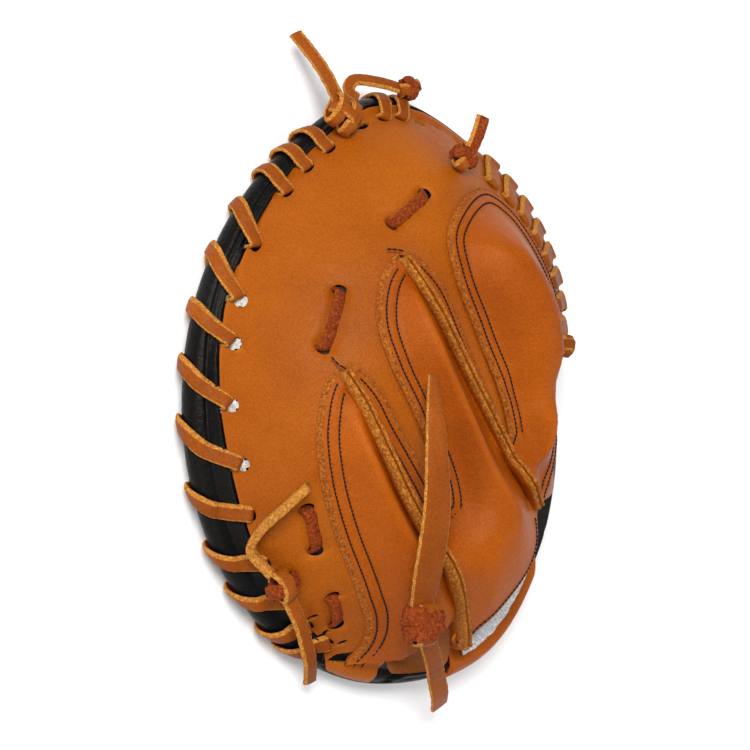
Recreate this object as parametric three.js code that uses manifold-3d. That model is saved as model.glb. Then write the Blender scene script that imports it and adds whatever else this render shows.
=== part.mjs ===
// Catcher's mitt for the left hand, lying palm down, in millimetres.
// +Y runs along the mid-line from the heel to the web, +X points to the thumb side,
// +Z points out of the back of the mitt, and the rim rests on the plane z = 0.
import * as THREE from "three";
import { mergeVertices } from "three/addons/utils/BufferGeometryUtils.js";
import Module from "manifold-3d";

const wasm = await Module();
wasm.setup();

// Driving sizes
const ORIGIN = { x: -9, y: 3 }; // the layout's point that is the middle of the finished box
const CENTRE_X = -9; // the middle of the round outline
const BACK_TOP = 84; // the plateau of the back panel above the ground
const GAP = 0.3; // clearance between touching pieces
const SLOT = 0.8; // what a slot is wider than the strip through it
const SEAT = 0.7; // clearance of the hand panels over the faceted back leather
const BACK_LEATHER = 3;
const HAND_LEATHER = 2.5;
const LINING_LEATHER = 1.5;
const ROLL_WIDTH = 10; // half of the padded rim roll, across
const REST_WIDTH = 16; // the flat ring under the rim, inboard of the roll
const POCKET_DEPTH = 46; // the pocket's ceiling above the ground
const PANEL_INSET = 8; // the back panel's edge, inboard of the outline

// Outline of the rim around the middle: each row is a direction in degrees from +X, with the
// rim's underside (foot) and top above the ground, and the run of the dome behind it
const RIM = [
  { angle: 0, reach: 115.5, foot: 3.5, top: 34, run: 86 },
  { angle: 22.5, reach: 127.5, foot: 3.5, top: 36, run: 88 },
  { angle: 45, reach: 136.5, foot: 3.5, top: 37, run: 90 },
  { angle: 67.5, reach: 145, foot: 2, top: 34, run: 95 },
  { angle: 90, reach: 156, foot: 0, top: 27, run: 100 },
  { angle: 112.5, reach: 139.5, foot: 3.5, top: 22, run: 100 },
  { angle: 135, reach: 127, foot: 3.5, top: 22, run: 95 },
  { angle: 157.5, reach: 120, foot: 3.5, top: 22, run: 88 },
  { angle: 180, reach: 118.5, foot: 3.5, top: 22, run: 86 },
  { angle: 202.5, reach: 123, foot: 3.5, top: 22, run: 88 },
  { angle: 225, reach: 133, foot: 3.5, top: 22, run: 92 },
  { angle: 247.5, reach: 146, foot: 3, top: 23, run: 95 },
  { angle: 270, reach: 157, foot: 0, top: 27, run: 95 },
  { angle: 292.5, reach: 158, foot: 0, top: 33, run: 90 },
  { angle: 315, reach: 141, foot: 0, top: 33, run: 82 },
  { angle: 337.5, reach: 127, foot: 0, top: 31, run: 80 },
];

// Sewn edge of the hand panels, from the heel up the little finger stall and back down the thumb
const SEWN_EDGE = [
  { x: -38, y: -143 }, { x: -36, y: -132 }, { x: -40, y: -120 }, { x: -49, y: -106 },
  { x: -67, y: -76 }, { x: -79, y: -46 }, { x: -83, y: -18 }, { x: -78, y: 7 },
  { x: -69, y: 13 }, { x: -57, y: 2 }, { x: -46, y: -18 }, { x: -31, y: -41 },
  { x: -18, y: -59 }, { x: -20, y: -47 }, { x: -35, y: -16 }, { x: -50, y: 12 },
  { x: -55, y: 34 }, { x: -49, y: 58 }, { x: -36, y: 70 }, { x: -24, y: 61 },
  { x: -8, y: 32 }, { x: 12, y: -6 }, { x: 27, y: -30 }, { x: 19, y: -6 },
  { x: 2, y: 29 }, { x: -11, y: 58 }, { x: -12, y: 80 }, { x: 4, y: 98 },
  { x: 27, y: 107 }, { x: 45, y: 100 }, { x: 60, y: 84 }, { x: 72, y: 66 },
  { x: 80, y: 46 }, { x: 83, y: 20 }, { x: 81, y: -6 }, { x: 82, y: -28 },
  { x: 74, y: -54 },
];

// Free edge of the middle hand panel round the wrist, then that of the little finger's panel
const HEM_EDGE = [
  { x: 63, y: -60 }, { x: 61, y: -74 }, { x: 56, y: -90 }, { x: 43, y: -111 },
  { x: 31, y: -127 }, { x: 24, y: -138 },
];
const LITTLE_WRIST_EDGE = [
  { x: 14, y: -127 }, { x: 4, y: -120 }, { x: -4, y: -130 }, { x: -14, y: -141 },
];

// Seams between the hand panels
const LITTLE_SEAM = [
  { x: -73, y: 10 }, { x: -64, y: -7 }, { x: -54, y: -31 }, { x: -43, y: -54 },
  { x: -18, y: -88 }, { x: 5, y: -114 }, { x: 23, y: -136 },
];
const MIDDLE_SEAM = [
  { x: -38, y: 67 }, { x: -25, y: 42 }, { x: -10, y: 17 }, { x: 5, y: -7 },
  { x: 24, y: -31 }, { x: 43, y: -47 }, { x: 62, y: -60 },
];

// Puffed form of the hand panels
const SEWN_BAND = 11; // flat strip beside the sewn edge
const PUFF_RISE = 20;
const PUFF_RUN = 32;
const VALLEY_DEPTH = 5; // dip of the panels beside a seam
const VALLEY_REACH = 9;
const WRIST_TAPER = 50; // length over which the puff dies away to the wrist edge
const WRIST_SHARE = 0.35; // share of the puff left at the wrist edge
const RIM_CLEAR = 20; // no puff nearer the outline of the thumb's side than this
const RIM_TAPER = 45; // length over which the puff grows inboard of that
const WRIST_BLEND = 40; // length, towards the wrist, over which the rim's side is free again

const WELT_WIDTH = 4.6; // two raw edges side by side
const WELT_HEIGHT = 8.5; // above the underside of the hand panels

// Heel and wrist
const BAND_LEATHER = 2.2;
const BAND_REACH = 20; // how far the heel's band comes inboard of the outline
const LABEL_THICK = 0.8;
const LABEL_WIDTH = 18;
const HEM_WIDTH = 7;

// Hollow for the hand
const HOLLOW_INSET = 12; // the hollow's wall, inside the sewn edge
const HOLLOW_STEP = 3; // height of that wall
const HOLLOW_RUN = 12; // from the wall to the full depth
const HEEL_FLOOR = 30; // the hollow's floor at the wrist
const STALL_DEPTH = 10; // below the back's dome, in the stalls
const PALM_DEPTH = 24; // below the back's dome, at the wrist

// Laces
const LACE_WIDTH = 7.5;
const LACE_THICK = 2.2;
const LACE_LIFT = LACE_THICK / 2 + 4 * GAP;
const GROOVE_HEIGHT = 1.7; // the lace's middle above the ground, under the rim
const BURIED_END = 8; // height at which a lace starts, inside its first hole
const LEAST_SLANT = 0.55; // a slanting strip widens along the rim by no more than this divides

const HEEL_STEPS = { from: 28, to: 32 }; // the heel's band, in steps of the layout

// Triangle layout
const ROLL_TURNS = [-90, -58, -22, 18, 58]; // corners of the roll's section, in degrees
const ANGLE_STEPS = 36;
const GRID_STEP = 16;
const DOME_SHARES = [0, 0.36, 0.64, 0.83, 0.95, 1]; // rings of the back, from its middle to its edge

// Colours of the leathers
const TAN = 0xb8621f;
const LACE_TAN = 0xa9571c;
const RAW_EDGE = 0xc08a3a;
const BLACK = 0x15181c;
const WHITE = 0xe8e6e0;

const clamp01 = (value) => Math.min(1, Math.max(0, value));
const radians = (degrees) => THREE.MathUtils.degToRad(degrees);

// A column of the rim table at any angle, as a smooth curve through its rows
function rimValue(column, angle) {
  const count = RIM.length;
  const place = (((angle / (2 * Math.PI)) % 1) + 1) * count;
  const row = Math.floor(place);
  const part = place - row;
  const [a, b, c, d] = [-1, 0, 1, 2].map((shift) => RIM[(row + shift + count) % count][column]);
  const slope = (c - a) * part;
  const bend = (2 * a - 5 * b + 4 * c - d) * part ** 2;
  const twist = (3 * b - 3 * c + d - a) * part ** 3;
  return 0.5 * (2 * b + slope + bend + twist);
}

// Height of the back's dome above the ground
function dome(x, y) {
  const angle = Math.atan2(y, x - CENTRE_X);
  const reach = Math.hypot(x - CENTRE_X, y);
  const inward = rimValue("reach", angle) - PANEL_INSET - reach;
  const share = clamp01(inward / rimValue("run", angle));
  const top = rimValue("top", angle);
  return top + (BACK_TOP - top) * (1 - (1 - share) ** 2);
}

// Height of the rim's underside: flat on the ground at the heel and the web, raised at the laces
function footHeight(angle) {
  return Math.max(0, rimValue("foot", angle));
}

// Height of the pocket's ceiling, down to the flat ring under the rim
function pocket(x, y) {
  const angle = Math.atan2(y, x - CENTRE_X);
  const edge = rimValue("reach", angle) - ROLL_WIDTH - REST_WIDTH;
  const share = clamp01(Math.hypot(x - CENTRE_X, y) / edge);
  const foot = footHeight(angle);
  return foot + (POCKET_DEPTH - foot) * (1 - share ** 2) ** 2;
}

// Evenly spaced points on a smooth curve through a table of rows
function smoothLine(rows, spacing) {
  const points = rows.map((row) => new THREE.Vector3(row.x, row.y, row.z ?? 0));
  const curve = new THREE.CatmullRomCurve3(points, false, "centripetal");
  return curve.getSpacedPoints(Math.round(curve.getLength() / spacing));
}

const SEWN_LINE = smoothLine(SEWN_EDGE, 12);
const WRIST_LINE = smoothLine([...HEM_EDGE, ...LITTLE_WRIST_EDGE], 12);
const HEM_LINE = smoothLine(HEM_EDGE, 12);
const LITTLE_LINE = smoothLine(LITTLE_SEAM, 14);
const MIDDLE_LINE = smoothLine(MIDDLE_SEAM, 14);

// Shortest distance in plan from a point to an open line
function distanceTo(line, x, y) {
  let nearest = Infinity;
  for (let index = 1; index < line.length; index += 1) {
    const from = line[index - 1];
    const to = line[index];
    const dx = to.x - from.x;
    const dy = to.y - from.y;
    const part = clamp01(((x - from.x) * dx + (y - from.y) * dy) / (dx * dx + dy * dy));
    nearest = Math.min(nearest, Math.hypot(x - from.x - part * dx, y - from.y - part * dy));
  }
  return nearest;
}

// Underside of the hand panels: on the back leather at the sewn edge, puffed over the hand
function handHeight(x, y) {
  const share = clamp01((distanceTo(SEWN_LINE, x, y) - SEWN_BAND) / PUFF_RUN);
  const wrist = clamp01(distanceTo(WRIST_LINE, x, y) / WRIST_TAPER);
  const seam = Math.min(distanceTo(LITTLE_LINE, x, y), distanceTo(MIDDLE_LINE, x, y));
  const puff = PUFF_RISE * (1 - (1 - share) ** 2) * (WRIST_SHARE + (1 - WRIST_SHARE) * wrist);
  const valley = VALLEY_DEPTH * share * Math.exp(-((seam / VALLEY_REACH) ** 2));
  const inside = rimValue("reach", Math.atan2(y, x - CENTRE_X)) - Math.hypot(x - CENTRE_X, y);
  const side = clamp01(Math.max((inside - RIM_CLEAR) / RIM_TAPER, (-10 - y) / WRIST_BLEND));
  return dome(x, y) + SEAT + puff * side - valley;
}

// Floor of the hollow that the hand goes into
function handFloor(x, y) {
  const share = clamp01((distanceTo(SEWN_LINE, x, y) - HOLLOW_INSET) / HOLLOW_RUN);
  const depth = THREE.MathUtils.lerp(STALL_DEPTH, PALM_DEPTH, clamp01((20 - y) / 80));
  const padTop = dome(x, y) - BACK_LEATHER - GAP;
  const floor = Math.max(padTop - HOLLOW_STEP - depth * share, HEEL_FLOOR);
  const inside = rimValue("reach", Math.atan2(y, x - CENTRE_X)) - Math.hypot(x - CENTRE_X, y);
  return THREE.MathUtils.lerp(HEEL_FLOOR, floor, clamp01((inside - BAND_REACH - GRID_STEP) / HOLLOW_RUN));
}

// A closed solid from a three.js geometry
function solidFrom(geometry) {
  const bare = geometry.index ? geometry.clone() : geometry;
  bare.deleteAttribute("normal");
  bare.deleteAttribute("uv");
  const merged = mergeVertices(bare, 1e-4);
  const vertProperties = new Float32Array(merged.attributes.position.array);
  const triVerts = new Uint32Array(merged.index.array);
  return new wasm.Manifold(new wasm.Mesh({ numProp: 3, vertProperties, triVerts }));
}

function geometryFrom(corners, faces) {
  const geometry = new THREE.BufferGeometry();
  const flat = corners.flatMap((corner) => [corner.x, corner.y, corner.z]);
  geometry.setAttribute("position", new THREE.Float32BufferAttribute(flat, 3));
  geometry.setIndex(faces.flat());
  return geometry;
}

// A solid turned about the middle: profileAt(angle) runs from the lower pole to the upper one.
// Its diagonals run from the outer corner of one ring to the inner corner of the next.
function turnedSolid(profileAt) {
  const profiles = Array.from({ length: ANGLE_STEPS }, (_, step) =>
    profileAt((2 * Math.PI * step) / ANGLE_STEPS));
  const rings = profiles.map((profile, step) => {
    const angle = (2 * Math.PI * step) / ANGLE_STEPS;
    return profile.map((spot) => new THREE.Vector3(
      CENTRE_X + spot.out * Math.cos(angle), spot.out * Math.sin(angle), spot.z));
  });
  const inner = rings[0].length - 2;
  const corners = [rings[0][0], rings[0][inner + 1]];
  rings.forEach((ring) => corners.push(...ring.slice(1, inner + 1)));
  const at = (ring, level) => 2 + (ring % ANGLE_STEPS) * inner + level;
  const faces = [];
  profiles.forEach((profile, ring) => {
    faces.push([0, at(ring + 1, 0), at(ring, 0)]);
    faces.push([1, at(ring, inner - 1), at(ring + 1, inner - 1)]);
    for (let level = 0; level < inner - 1; level += 1) {
      const [a, b] = [at(ring, level), at(ring + 1, level)];
      const [c, d] = [at(ring + 1, level + 1), at(ring, level + 1)];
      const outward = profile[level + 2].out > profile[level + 1].out;
      faces.push(...(outward ? [[a, b, d], [b, c, d]] : [[a, b, c], [a, c, d]]));
    }
  });
  return solidFrom(geometryFrom(corners, faces));
}

// A solid over a rectangle, between two heights that vary with x and y
function gridSolid(box, low, high) {
  const columns = Math.ceil((box.right - box.left) / GRID_STEP);
  const rows = Math.ceil((box.back - box.front) / GRID_STEP);
  const corners = [];
  for (const height of [low, high]) {
    for (let row = 0; row <= rows; row += 1) {
      for (let column = 0; column <= columns; column += 1) {
        const x = THREE.MathUtils.lerp(box.left, box.right, column / columns);
        const y = THREE.MathUtils.lerp(box.front, box.back, row / rows);
        corners.push(new THREE.Vector3(x, y, height(x, y)));
      }
    }
  }
  const layer = (rows + 1) * (columns + 1);
  const at = (row, column) => row * (columns + 1) + column;
  const faces = [];
  const wall = (from, to) => {
    faces.push([from, to, to + layer]);
    faces.push([from, to + layer, from + layer]);
  };
  for (let row = 0; row < rows; row += 1) {
    for (let column = 0; column < columns; column += 1) {
      const [a, b] = [at(row, column), at(row, column + 1)];
      const [c, d] = [at(row + 1, column + 1), at(row + 1, column)];
      faces.push([a, c, b], [a, d, c]);
      faces.push([a + layer, b + layer, c + layer], [a + layer, c + layer, d + layer]);
    }
    wall(at(row + 1, 0), at(row, 0));
    wall(at(row, columns), at(row + 1, columns));
  }
  for (let column = 0; column < columns; column += 1) {
    wall(at(0, column), at(0, column + 1));
    wall(at(rows, column + 1), at(rows, column));
  }
  return solidFrom(geometryFrom(corners, faces));
}

// An upright prism over an outline in plan
function prism(points, low = -20, high = 200) {
  const shape = new THREE.Shape(points.map((point) => new THREE.Vector2(point.x, point.y)));
  const geometry = new THREE.ExtrudeGeometry(shape, { depth: high - low, bevelEnabled: false });
  return solidFrom(geometry.translate(0, 0, low));
}

// A clockwise outline moved inwards by a distance, without the points that fold over
function inset(points, distance) {
  const count = points.length;
  const closed = [...points, points[0]];
  const moved = points.map((point, index) => {
    const before = points[(index + count - 1) % count];
    const after = points[(index + 1) % count];
    const along = new THREE.Vector2(after.x - before.x, after.y - before.y).normalize();
    return new THREE.Vector2(point.x + along.y * distance, point.y - along.x * distance);
  });
  return moved.filter((point) => distanceTo(closed, point.x, point.y) > 0.96 * distance);
}

// Outline of the hollow: inside the sewn edge by a distance, and out to the wrist's free edge
function hollowOutline(distance) {
  const sewn = inset([...SEWN_LINE, ...WRIST_LINE], distance).filter((point) =>
    distanceTo(WRIST_LINE, point.x, point.y) > distance + 0.5);
  return [...sewn, ...WRIST_LINE];
}

// A closed strip through stations; each has a place, an outward direction and maybe a width,
// and where it has a side direction its section keeps to that while the strip slants past it
function strip(stations, thickness, widen = 0) {
  const corners = [];
  stations.forEach((station, index) => {
    const before = stations[Math.max(index - 1, 0)].at;
    const after = stations[Math.min(index + 1, stations.length - 1)].at;
    const along = after.clone().sub(before).normalize();
    const side = station.side ?? along.clone().cross(station.out).normalize();
    const out = station.side ? station.out : side.clone().cross(along);
    const slant = Math.max(along.clone().cross(side).length(), LEAST_SLANT);
    const halfWidth = ((station.width ?? LACE_WIDTH) + widen) / slant / 2;
    const halfThick = (thickness + widen) / 2;
    for (const [across, up] of [[-1, -1], [1, -1], [1, 1], [-1, 1]]) {
      corners.push(station.at.clone()
        .addScaledVector(side, across * halfWidth)
        .addScaledVector(out, up * halfThick));
    }
  });
  const faces = [[0, 1, 2], [0, 2, 3]];
  for (let index = 1; index < stations.length; index += 1) {
    for (let corner = 0; corner < 4; corner += 1) {
      const next = (corner + 1) % 4;
      const [a, b] = [4 * (index - 1) + corner, 4 * (index - 1) + next];
      faces.push([a, a + 4, b + 4], [a, b + 4, b]);
    }
  }
  const last = 4 * (stations.length - 1);
  faces.push([last, last + 2, last + 1], [last, last + 3, last + 2]);
  return solidFrom(geometryFrom(corners, faces));
}

// A place given by its angle round the rim, its distance inside the outline and its height
function rimPlace(angle, inside, z) {
  const out = rimValue("reach", angle) - inside;
  return new THREE.Vector3(CENTRE_X + out * Math.cos(angle), out * Math.sin(angle), z);
}

// A direction that leans outwards from the rim by the cosine of a turn and upwards by its sine
function rimDirection(angle, turn) {
  return new THREE.Vector3(
    Math.cos(turn) * Math.cos(angle), Math.cos(turn) * Math.sin(angle), Math.sin(turn));
}

// The direction along the rim, for a growing angle
function rimAlong(angle) {
  const ahead = rimPlace(angle + 0.01, 0, 0);
  return ahead.sub(rimPlace(angle - 0.01, 0, 0)).normalize();
}

// A point of the padded roll: turn is -90 degrees underneath, 0 outside and 90 on top
function rollSpot(angle, turn, offset = 0) {
  const foot = footHeight(angle);
  const half = (rimValue("top", angle) - foot) / 2;
  return {
    inside: ROLL_WIDTH - (ROLL_WIDTH + offset) * Math.cos(turn),
    z: foot + half + (half + offset) * Math.sin(turn),
  };
}

// Whip lace round the rim, clockwise: up through a hole, over the roll and back under to the next
function whipStations(holes) {
  const stations = [];
  const add = (angle, inside, z, turn) => stations.push({
    at: rimPlace(angle, inside, z),
    out: rimDirection(angle, radians(turn)),
    side: rimAlong(angle).negate(),
  });
  const surface = (angle, inside) => {
    const place = rimPlace(angle, inside, 0);
    return dome(place.x, place.y) + LACE_LIFT;
  };
  const last = holes.length - 1;
  holes.forEach((hole, index) => {
    const from = radians(hole.angle);
    add(from, hole.inside, index === 0 ? BURIED_END : GROOVE_HEIGHT, index === 0 ? 180 : 225);
    if (index === last) {
      add(from, hole.inside, surface(from, hole.inside) - LACE_LIFT - LACE_THICK, 180);
      return;
    }
    add(from, hole.inside, surface(from, hole.inside), 135);
    const next = holes[index + 1];
    const to = radians(next.angle);
    const slope = THREE.MathUtils.lerp(from, to, 0.15);
    const shoulder = THREE.MathUtils.lerp(from, to, 0.3);
    const between = (hole.inside + ROLL_WIDTH) / 2;
    add(slope, between, surface(slope, between), 120);
    add(shoulder, ROLL_WIDTH - 1, rimValue("top", shoulder) + LACE_LIFT + 2 * GAP, 100);
    [{ turn: 58, part: 0.6 }, { turn: 18, part: 0.85 }, { turn: -22, part: 1 }, { turn: -58, part: 1 }]
      .forEach(({ turn, part }) => {
        const angle = THREE.MathUtils.lerp(from, to, part);
        const spot = rollSpot(angle, radians(turn), LACE_LIFT);
        add(angle, spot.inside, Math.max(spot.z, GROOVE_HEIGHT), turn);
      });
    add(to, ROLL_WIDTH, GROOVE_HEIGHT, -90);
  });
  return stations;
}

// A short stretch of the pocket lace, out of one hole of the back and into the next
function stapleStations(from, to) {
  const depth = 14;
  const top = (x, y) => new THREE.Vector3(x, y, dome(x, y) + LACE_LIFT);
  const [start, end] = [top(from.x, from.y), top(to.x, to.y)];
  const along = end.clone().sub(start).normalize();
  const up = new THREE.Vector3(0, 0, 1);
  const below = (spot) => spot.clone().addScaledVector(up, -depth);
  const middle = start.clone().lerp(end, 0.5);
  middle.z = dome(middle.x, middle.y) + LACE_LIFT + 0.6;
  return [
    { at: below(start), out: along.clone().negate() },
    { at: start, out: up.clone().sub(along) },
    { at: middle, out: up },
    { at: end, out: up.clone().add(along) },
    { at: below(end), out: along },
  ];
}

// A free lace end through a table of rows, flat side up unless a row leans it
function freeStations(rows) {
  return rows.map((row) => ({
    at: new THREE.Vector3(row.x, row.y, row.z),
    out: new THREE.Vector3(row.leanX ?? 0, row.leanY ?? 0, 1).normalize(),
    width: row.width,
  }));
}

// A knot: a squashed ball with four lobes
function knotSolid(place) {
  const ball = new THREE.SphereGeometry(1, 8, 5);
  const spots = ball.attributes.position;
  const lobe = new THREE.Vector3();
  for (let index = 0; index < spots.count; index += 1) {
    lobe.fromBufferAttribute(spots, index);
    const swell = 1 + 0.12 * Math.sin(4 * Math.atan2(lobe.y, lobe.x)) * (1 - lobe.z ** 2);
    lobe.multiplyScalar(swell);
    spots.setXYZ(index, lobe.x, lobe.y, lobe.z);
  }
  ball.scale(place.long / 2, place.wide / 2, place.high / 2);
  ball.rotateZ(radians(place.turn));
  return solidFrom(ball.translate(place.x, place.y, place.z));
}

// A strip that follows the rim from one of the layout's angle steps to a later one
function rimStrip(fromStep, toStep, sectionAt) {
  const steps = toStep - fromStep;
  const flat = (section) => section.map((spot) => new THREE.Vector2(-spot.inside, spot.z));
  const corners = [];
  let section = [];
  for (let step = 0; step <= steps; step += 1) {
    const angle = (2 * Math.PI * (fromStep + step)) / ANGLE_STEPS;
    section = sectionAt(angle);
    if (THREE.ShapeUtils.isClockWise(flat(section))) section.reverse();
    section.forEach((spot) => corners.push(rimPlace(angle, spot.inside, spot.z)));
  }
  const size = section.length;
  const faces = [];
  for (let step = 0; step < steps; step += 1) {
    for (let corner = 0; corner < size; corner += 1) {
      const a = step * size + corner;
      const b = step * size + ((corner + 1) % size);
      faces.push([a, b + size, b], [a, a + size, b + size]);
    }
  }
  const last = steps * size;
  THREE.ShapeUtils.triangulateShape(flat(section), []).forEach(([a, b, c]) => {
    faces.push([a, b, c], [last + a, last + c, last + b]);
  });
  return solidFrom(geometryFrom(corners, faces));
}

// Section of the heel's band: over the roll from outside and flat along the hollow's floor
function heelSection(angle) {
  const floor = HEEL_FLOOR + GAP;
  const side = [ROLL_TURNS[2], ROLL_TURNS[3]];
  const inner = side.map((turn) => rollSpot(angle, radians(turn), GAP));
  const outer = [...side, ROLL_TURNS[4]].map((turn) =>
    rollSpot(angle, radians(turn), GAP + BAND_LEATHER)).reverse();
  const crown = rollSpot(angle, radians(ROLL_TURNS[4]), GAP);
  const share = clamp01((floor - inner[1].z) / (crown.z - inner[1].z));
  const inside = THREE.MathUtils.lerp(inner[1].inside, crown.inside, share);
  return [
    ...inner, { inside, z: Math.min(floor, crown.z) }, { inside: inside + 1, z: floor },
    { inside: BAND_REACH, z: floor }, { inside: BAND_REACH, z: floor + BAND_LEATHER },
    { inside: 9, z: floor + BAND_LEATHER + 1 }, ...outer,
  ];
}

// A clockwise outline in plan at a distance inside the rim's
function rimOutline(inside) {
  return Array.from({ length: ANGLE_STEPS }, (_, step) =>
    rimPlace((-2 * Math.PI * step) / ANGLE_STEPS, inside, 0));
}

// Solids that are shared by several pieces
const sewnOutline = [...SEWN_LINE, ...WRIST_LINE];
const sewnPrism = prism(sewnOutline);
const wholeBack = (low, high, edge) => turnedSolid((angle) => {
  const outer = rimValue("reach", angle) - edge;
  const spot = (share, height) => {
    const out = share * outer;
    return { out, z: height(CENTRE_X + out * Math.cos(angle), out * Math.sin(angle)) };
  };
  const below = DOME_SHARES.map((share) => spot(share, low));
  const above = DOME_SHARES.map((share) => spot(share, high)).reverse();
  return [...below, ...above];
});
const handBox = { left: -104, right: 124, front: -190, back: 122 };

// Region in front of the wrist edge, out over the heel, where nothing covers the hollow
const MOUTH_REGION = [
  { x: 74, y: -57 }, { x: 110, y: -50 }, { x: 123, y: -110 }, { x: 60, y: -188 },
  { x: -17, y: -188 }, { x: -17, y: -140 }, { x: -12, y: -126 }, { x: 2, y: -104 },
  { x: 22, y: -115 }, { x: 44, y: -85 }, { x: 52, y: -60 },
];

// Region of the lining that the mouth shows
const LINING_REGION = [
  { x: 72, y: -62 }, { x: 110, y: -52 }, { x: 123, y: -110 }, { x: 60, y: -188 },
  { x: -15, y: -188 }, { x: -15, y: -140 }, { x: -8, y: -122 }, { x: 4, y: -86 },
  { x: 28, y: -72 }, { x: 46, y: -62 },
];

// Lace holes round the rim: direction in degrees and distance inside the outline
const FINGER_HOLES = [
  { angle: 252.5, inside: 12 }, { angle: 246, inside: 13 }, { angle: 238, inside: 14 },
  { angle: 227, inside: 15 }, { angle: 214, inside: 17 }, { angle: 200, inside: 17 },
  { angle: 183.3, inside: 15 }, { angle: 166, inside: 14.5 }, { angle: 154, inside: 13.5 },
  { angle: 139, inside: 13 }, { angle: 122.5, inside: 12.5 }, { angle: 114.5, inside: 12 },
  { angle: 107.5, inside: 12 }, { angle: 98, inside: 12 },
];
const THUMB_HOLES = [65, 58.5, 52, 45.5, 39, 32.5, 26, 19.5, 13.5].map((angle) => ({ angle, inside: 22 }));
const TOP_HOLES = [92.4, 88.2, 84].map((angle) => ({ angle, inside: 12 }));
const POCKET_LACES = [
  { name: "pocket_lace_web", from: { x: -35, y: 85 }, to: { x: -16, y: 100 } },
  { name: "pocket_lace_finger", from: { x: -77, y: 22 }, to: { x: -67, y: 49 } },
  { name: "pocket_lace_little", from: { x: -80, y: -60 }, to: { x: -73, y: -79 } },
  { name: "pocket_lace_heel", from: { x: -58, y: -106 }, to: { x: -51, y: -119 } },
];

// Free lace ends, along their middles
const FREE_ENDS = [
  { name: "top_tail", rows: [
    { x: -45.5, y: 150.2, z: 29.6 }, { x: -51, y: 162, z: 27.5 },
    { x: -56, y: 173, z: 22 }, { x: -60, y: 184, z: 14 },
  ] },
  { name: "wrist_tail_long", rows: [
    { x: -22.8, y: -111.7, z: 80, width: 12 }, { x: -31, y: -93, z: 91, width: 14 },
    { x: -37, y: -75, z: 101, width: 14 }, { x: -40, y: -55, z: 107, width: 13 },
    { x: -41, y: -32, z: 108, width: 11 }, { x: -40, y: -10, z: 105, width: 8 },
    { x: -37, y: 8, z: 100, width: 5 },
  ] },
  { name: "wrist_tail_short", rows: [
    { x: -17.2, y: -125.2, z: 70.8 }, { x: -5, y: -140, z: 58.5 }, { x: 5, y: -152, z: 47 },
    { x: 13, y: -162, z: 38 }, { x: 20, y: -170, z: 27 },
  ] },
  { name: "finger_tail_upper", rows: [
    { x: -91.4, y: -92.4, z: 38 }, { x: -101, y: -80, z: 34 }, { x: -101, y: -69, z: 43 },
    { x: -96, y: -58, z: 56 }, { x: -90, y: -47, z: 68 },
  ] },
  { name: "finger_tail_lower", rows: [
    { x: -82.4, y: -104.6, z: 39.2 }, { x: -74.5, y: -118, z: 38 }, { x: -67, y: -131, z: 33 },
    { x: -60, y: -142, z: 26 }, { x: -53, y: -152, z: 15 },
  ] },
];

// The strand between the two knots at the web
const TOP_STRAND = [
  { x: -32.4, y: 152.2, z: 29.4 }, { x: -37.5, y: 156, z: 28.6 }, { x: -34, y: 161.5, z: 27.5 },
  { x: -25, y: 162.5, z: 27 }, { x: -13, y: 161.5, z: 27.5 }, { x: -4, y: 160.2, z: 26.8 },
];

// Knots of the lacing: a place, a size along, across and up, and a turn about the vertical
const KNOTS = [
  { name: "top_knot", x: -43, y: 143, z: 31.2, long: 19, wide: 14, high: 12, turn: 30 },
  { name: "top_loop_knot", x: 3.3, y: 160.6, z: 26, long: 15, wide: 10, high: 12, turn: 10 },
  { name: "web_knot", x: 14, y: 122, z: 59.7, long: 15, wide: 13, high: 11, turn: 60 },
  { name: "wrist_knot", x: -22, y: -119, z: 75, long: 23, wide: 17, high: 12, turn: 5 },
  { name: "finger_knot", x: -86, y: -98, z: 39.4, long: 16, wide: 14, high: 12, turn: 30 },
  { name: "thumb_knot", x: 93, y: 24, z: 52.8, long: 14, wide: 12, high: 12, turn: 80 },
];

function palmPad(cutters) {
  const pad = turnedSolid((angle) => {
    const reach = rimValue("reach", angle);
    const ceiling = reach - ROLL_WIDTH - REST_WIDTH;
    const spot = (out) => [CENTRE_X + out * Math.cos(angle), out * Math.sin(angle)];
    const under = [0, 0.25, 0.5, 0.7, 0.86, 1].map((share) => {
      const out = share * ceiling;
      return { out, z: pocket(...spot(out)) };
    });
    const roll = ROLL_TURNS.map((turn) => {
      const place = rollSpot(angle, radians(turn));
      return { out: reach - place.inside, z: place.z };
    });
    const stepOut = reach - PANEL_INSET + GAP;
    const crown = rollSpot(angle, Math.acos((ROLL_WIDTH - PANEL_INSET + GAP) / ROLL_WIDTH));
    const stepZ = rimValue("top", angle) - BACK_LEATHER - 3 * GAP;
    const step = [crown.z, stepZ].map((z) => ({ out: stepOut, z }));
    const top = DOME_SHARES.slice(0, -1).reverse().map((share) => {
      const out = share * (reach - PANEL_INSET);
      return { out, z: dome(...spot(out)) - BACK_LEATHER - GAP };
    });
    return [...under, ...roll, ...step, ...top];
  });
  return cutters.reduce((solid, cutter) => solid.subtract(cutter), pad);
}

// The rim's edge of the back leather, over the pad and clear of the roll's crown
function backPanel(opening, cutters) {
  const low = (x, y) => dome(x, y) - BACK_LEATHER;
  const panel = wholeBack(low, dome, PANEL_INSET).subtract(opening);
  return cutters.reduce((solid, cutter) => solid.subtract(cutter), panel);
}

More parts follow.
